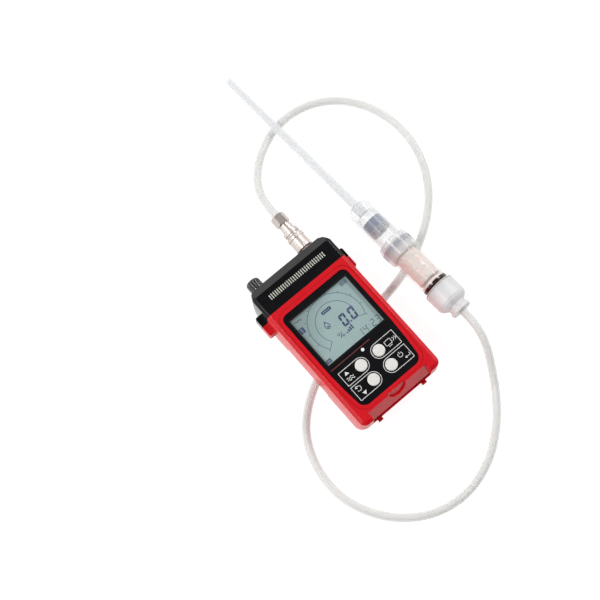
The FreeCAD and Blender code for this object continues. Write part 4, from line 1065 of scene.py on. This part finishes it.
class DETECTOR_OT_stage(bpy.types.Operator):
    """Set out the pale floor, the soft lights and the camera"""

    bl_idname = "detector.stage"
    bl_label = "Stage"

    def execute(self, context):
        scene = context.scene
        settings = scene.detector.stage
        work = bmesh.new()
        bmesh.ops.create_grid(work, x_segments=1, y_segments=1, size=6.0)
        mesh = mesh_from("floor", work)
        graph = Graph("pale_floor")
        cloud = graph.noise(0.3, 2)
        base = graph.mix(cloud, shade(settings.floor, 0.99), settings.floor)
        glow = {"Base Color": base, "Roughness": 0.8 + cloud * 0.1, "Emission Color": (1, 1, 1, 1),
                "Emission Strength": settings.glow, "Specular IOR Level": 0.2}
        mesh.materials.append(graph.finish(glow))
        floor = bpy.data.objects.new("floor", mesh)
        floor.location.z = -0.15 * MM
        scene.collection.objects.link(floor)

        world = bpy.data.worlds.new("even_light")
        world.use_nodes = True
        self.sky(world.node_tree, settings.sky)
        scene.world = world
        scene.view_settings.view_transform = "Standard"
        soft_light("left_box", (-0.85, 0.25, 1.35), (0, 0, 0), (0.9, 0.3), settings.boxes)
        soft_light("left_low_box", (-1.60, 0.30, 0.42), (0, 0, 0), (0.9, 0.15), settings.boxes * 0.25)
        soft_light("right_box", (1.15, 0.25, 1.15), (0, 0, 0), (0.9, 0.3), settings.boxes)

        data = bpy.data.cameras.new("camera")
        data.lens = settings.lens
        data.sensor_width = 36.0
        data.clip_end = 20.0
        camera = bpy.data.objects.new("camera", data)
        camera.location = settings.camera
        look = Vector(settings.target) - Vector(settings.camera)
        camera.rotation_euler = look.to_track_quat("-Z", "Y").to_euler()
        scene.collection.objects.link(camera)
        scene.camera = camera
        return {"FINISHED"}

    def sky(self, tree, strength):
        """Even light from the sides, dim overhead and towards the foot so that gloss black stays black."""
        background = tree.nodes["Background"]
        place = tree.nodes.new("ShaderNodeTexCoord")
        up = tree.nodes.new("ShaderNodeVectorMath")
        up.operation = "DOT_PRODUCT"
        up.inputs[1].default_value = (0.0, -0.45, 1.0)
        ramp = tree.nodes.new("ShaderNodeValToRGB")
        fill_ramp(ramp.color_ramp, [(0.0, (1, 1, 1, 1)), (0.38, (1, 1, 1, 1)), (0.72, (0.035, 0.035, 0.04, 1))])
        tree.links.new(place.outputs["Generated"], up.inputs[0])
        tree.links.new(up.outputs["Value"], ramp.inputs["Fac"])
        tree.links.new(ramp.outputs["Color"], background.inputs["Color"])
        background.inputs["Strength"].default_value = strength


# ---- sidebar --------------------------------------------------------------
OPERATORS = (
    DETECTOR_OT_coupling, DETECTOR_OT_probe, DETECTOR_OT_hose, DETECTOR_OT_case, DETECTOR_OT_buttons,
    DETECTOR_OT_panel_print, DETECTOR_OT_display, DETECTOR_OT_lamp, DETECTOR_OT_rear_label,
    DETECTOR_OT_inside, DETECTOR_OT_stage,
)


class DETECTOR_PT_sidebar(bpy.types.Panel):
    """Settings and pieces of the detector"""

    bl_idname = "DETECTOR_PT_sidebar"
    bl_label = "Gas detector"
    bl_space_type = "VIEW_3D"
    bl_region_type = "UI"
    bl_category = "Detector"

    def draw(self, context):
        layout = self.layout
        settings = context.scene.detector
        for group in (settings.case, settings.lamp, settings.readout, settings.sample, settings.stage):
            box = layout.box()
            for name in group.bl_rna.properties.keys():
                if name not in ("rna_type", "name"):
                    box.prop(group, name)
        for operator in OPERATORS:
            layout.operator(operator.bl_idname)


CLASSES = (CaseSettings, LampSettings, ReadoutSettings, SampleSettings, StageSettings, DetectorSettings,
           *OPERATORS, DETECTOR_PT_sidebar)


def register():
    for cls in CLASSES:
        bpy.utils.register_class(cls)
    bpy.types.Scene.detector = PointerProperty(type=DetectorSettings, name="Detector",
                                               description="Settings of the gas detector")


def unregister():
    del bpy.types.Scene.detector
    for cls in reversed(CLASSES):
        bpy.utils.unregister_class(cls)


def main():
    register()
    for operator in OPERATORS:
        group, name = operator.bl_idname.split(".")
        getattr(getattr(bpy.ops, group), name)()


if __name__ == "__main__":
    main()
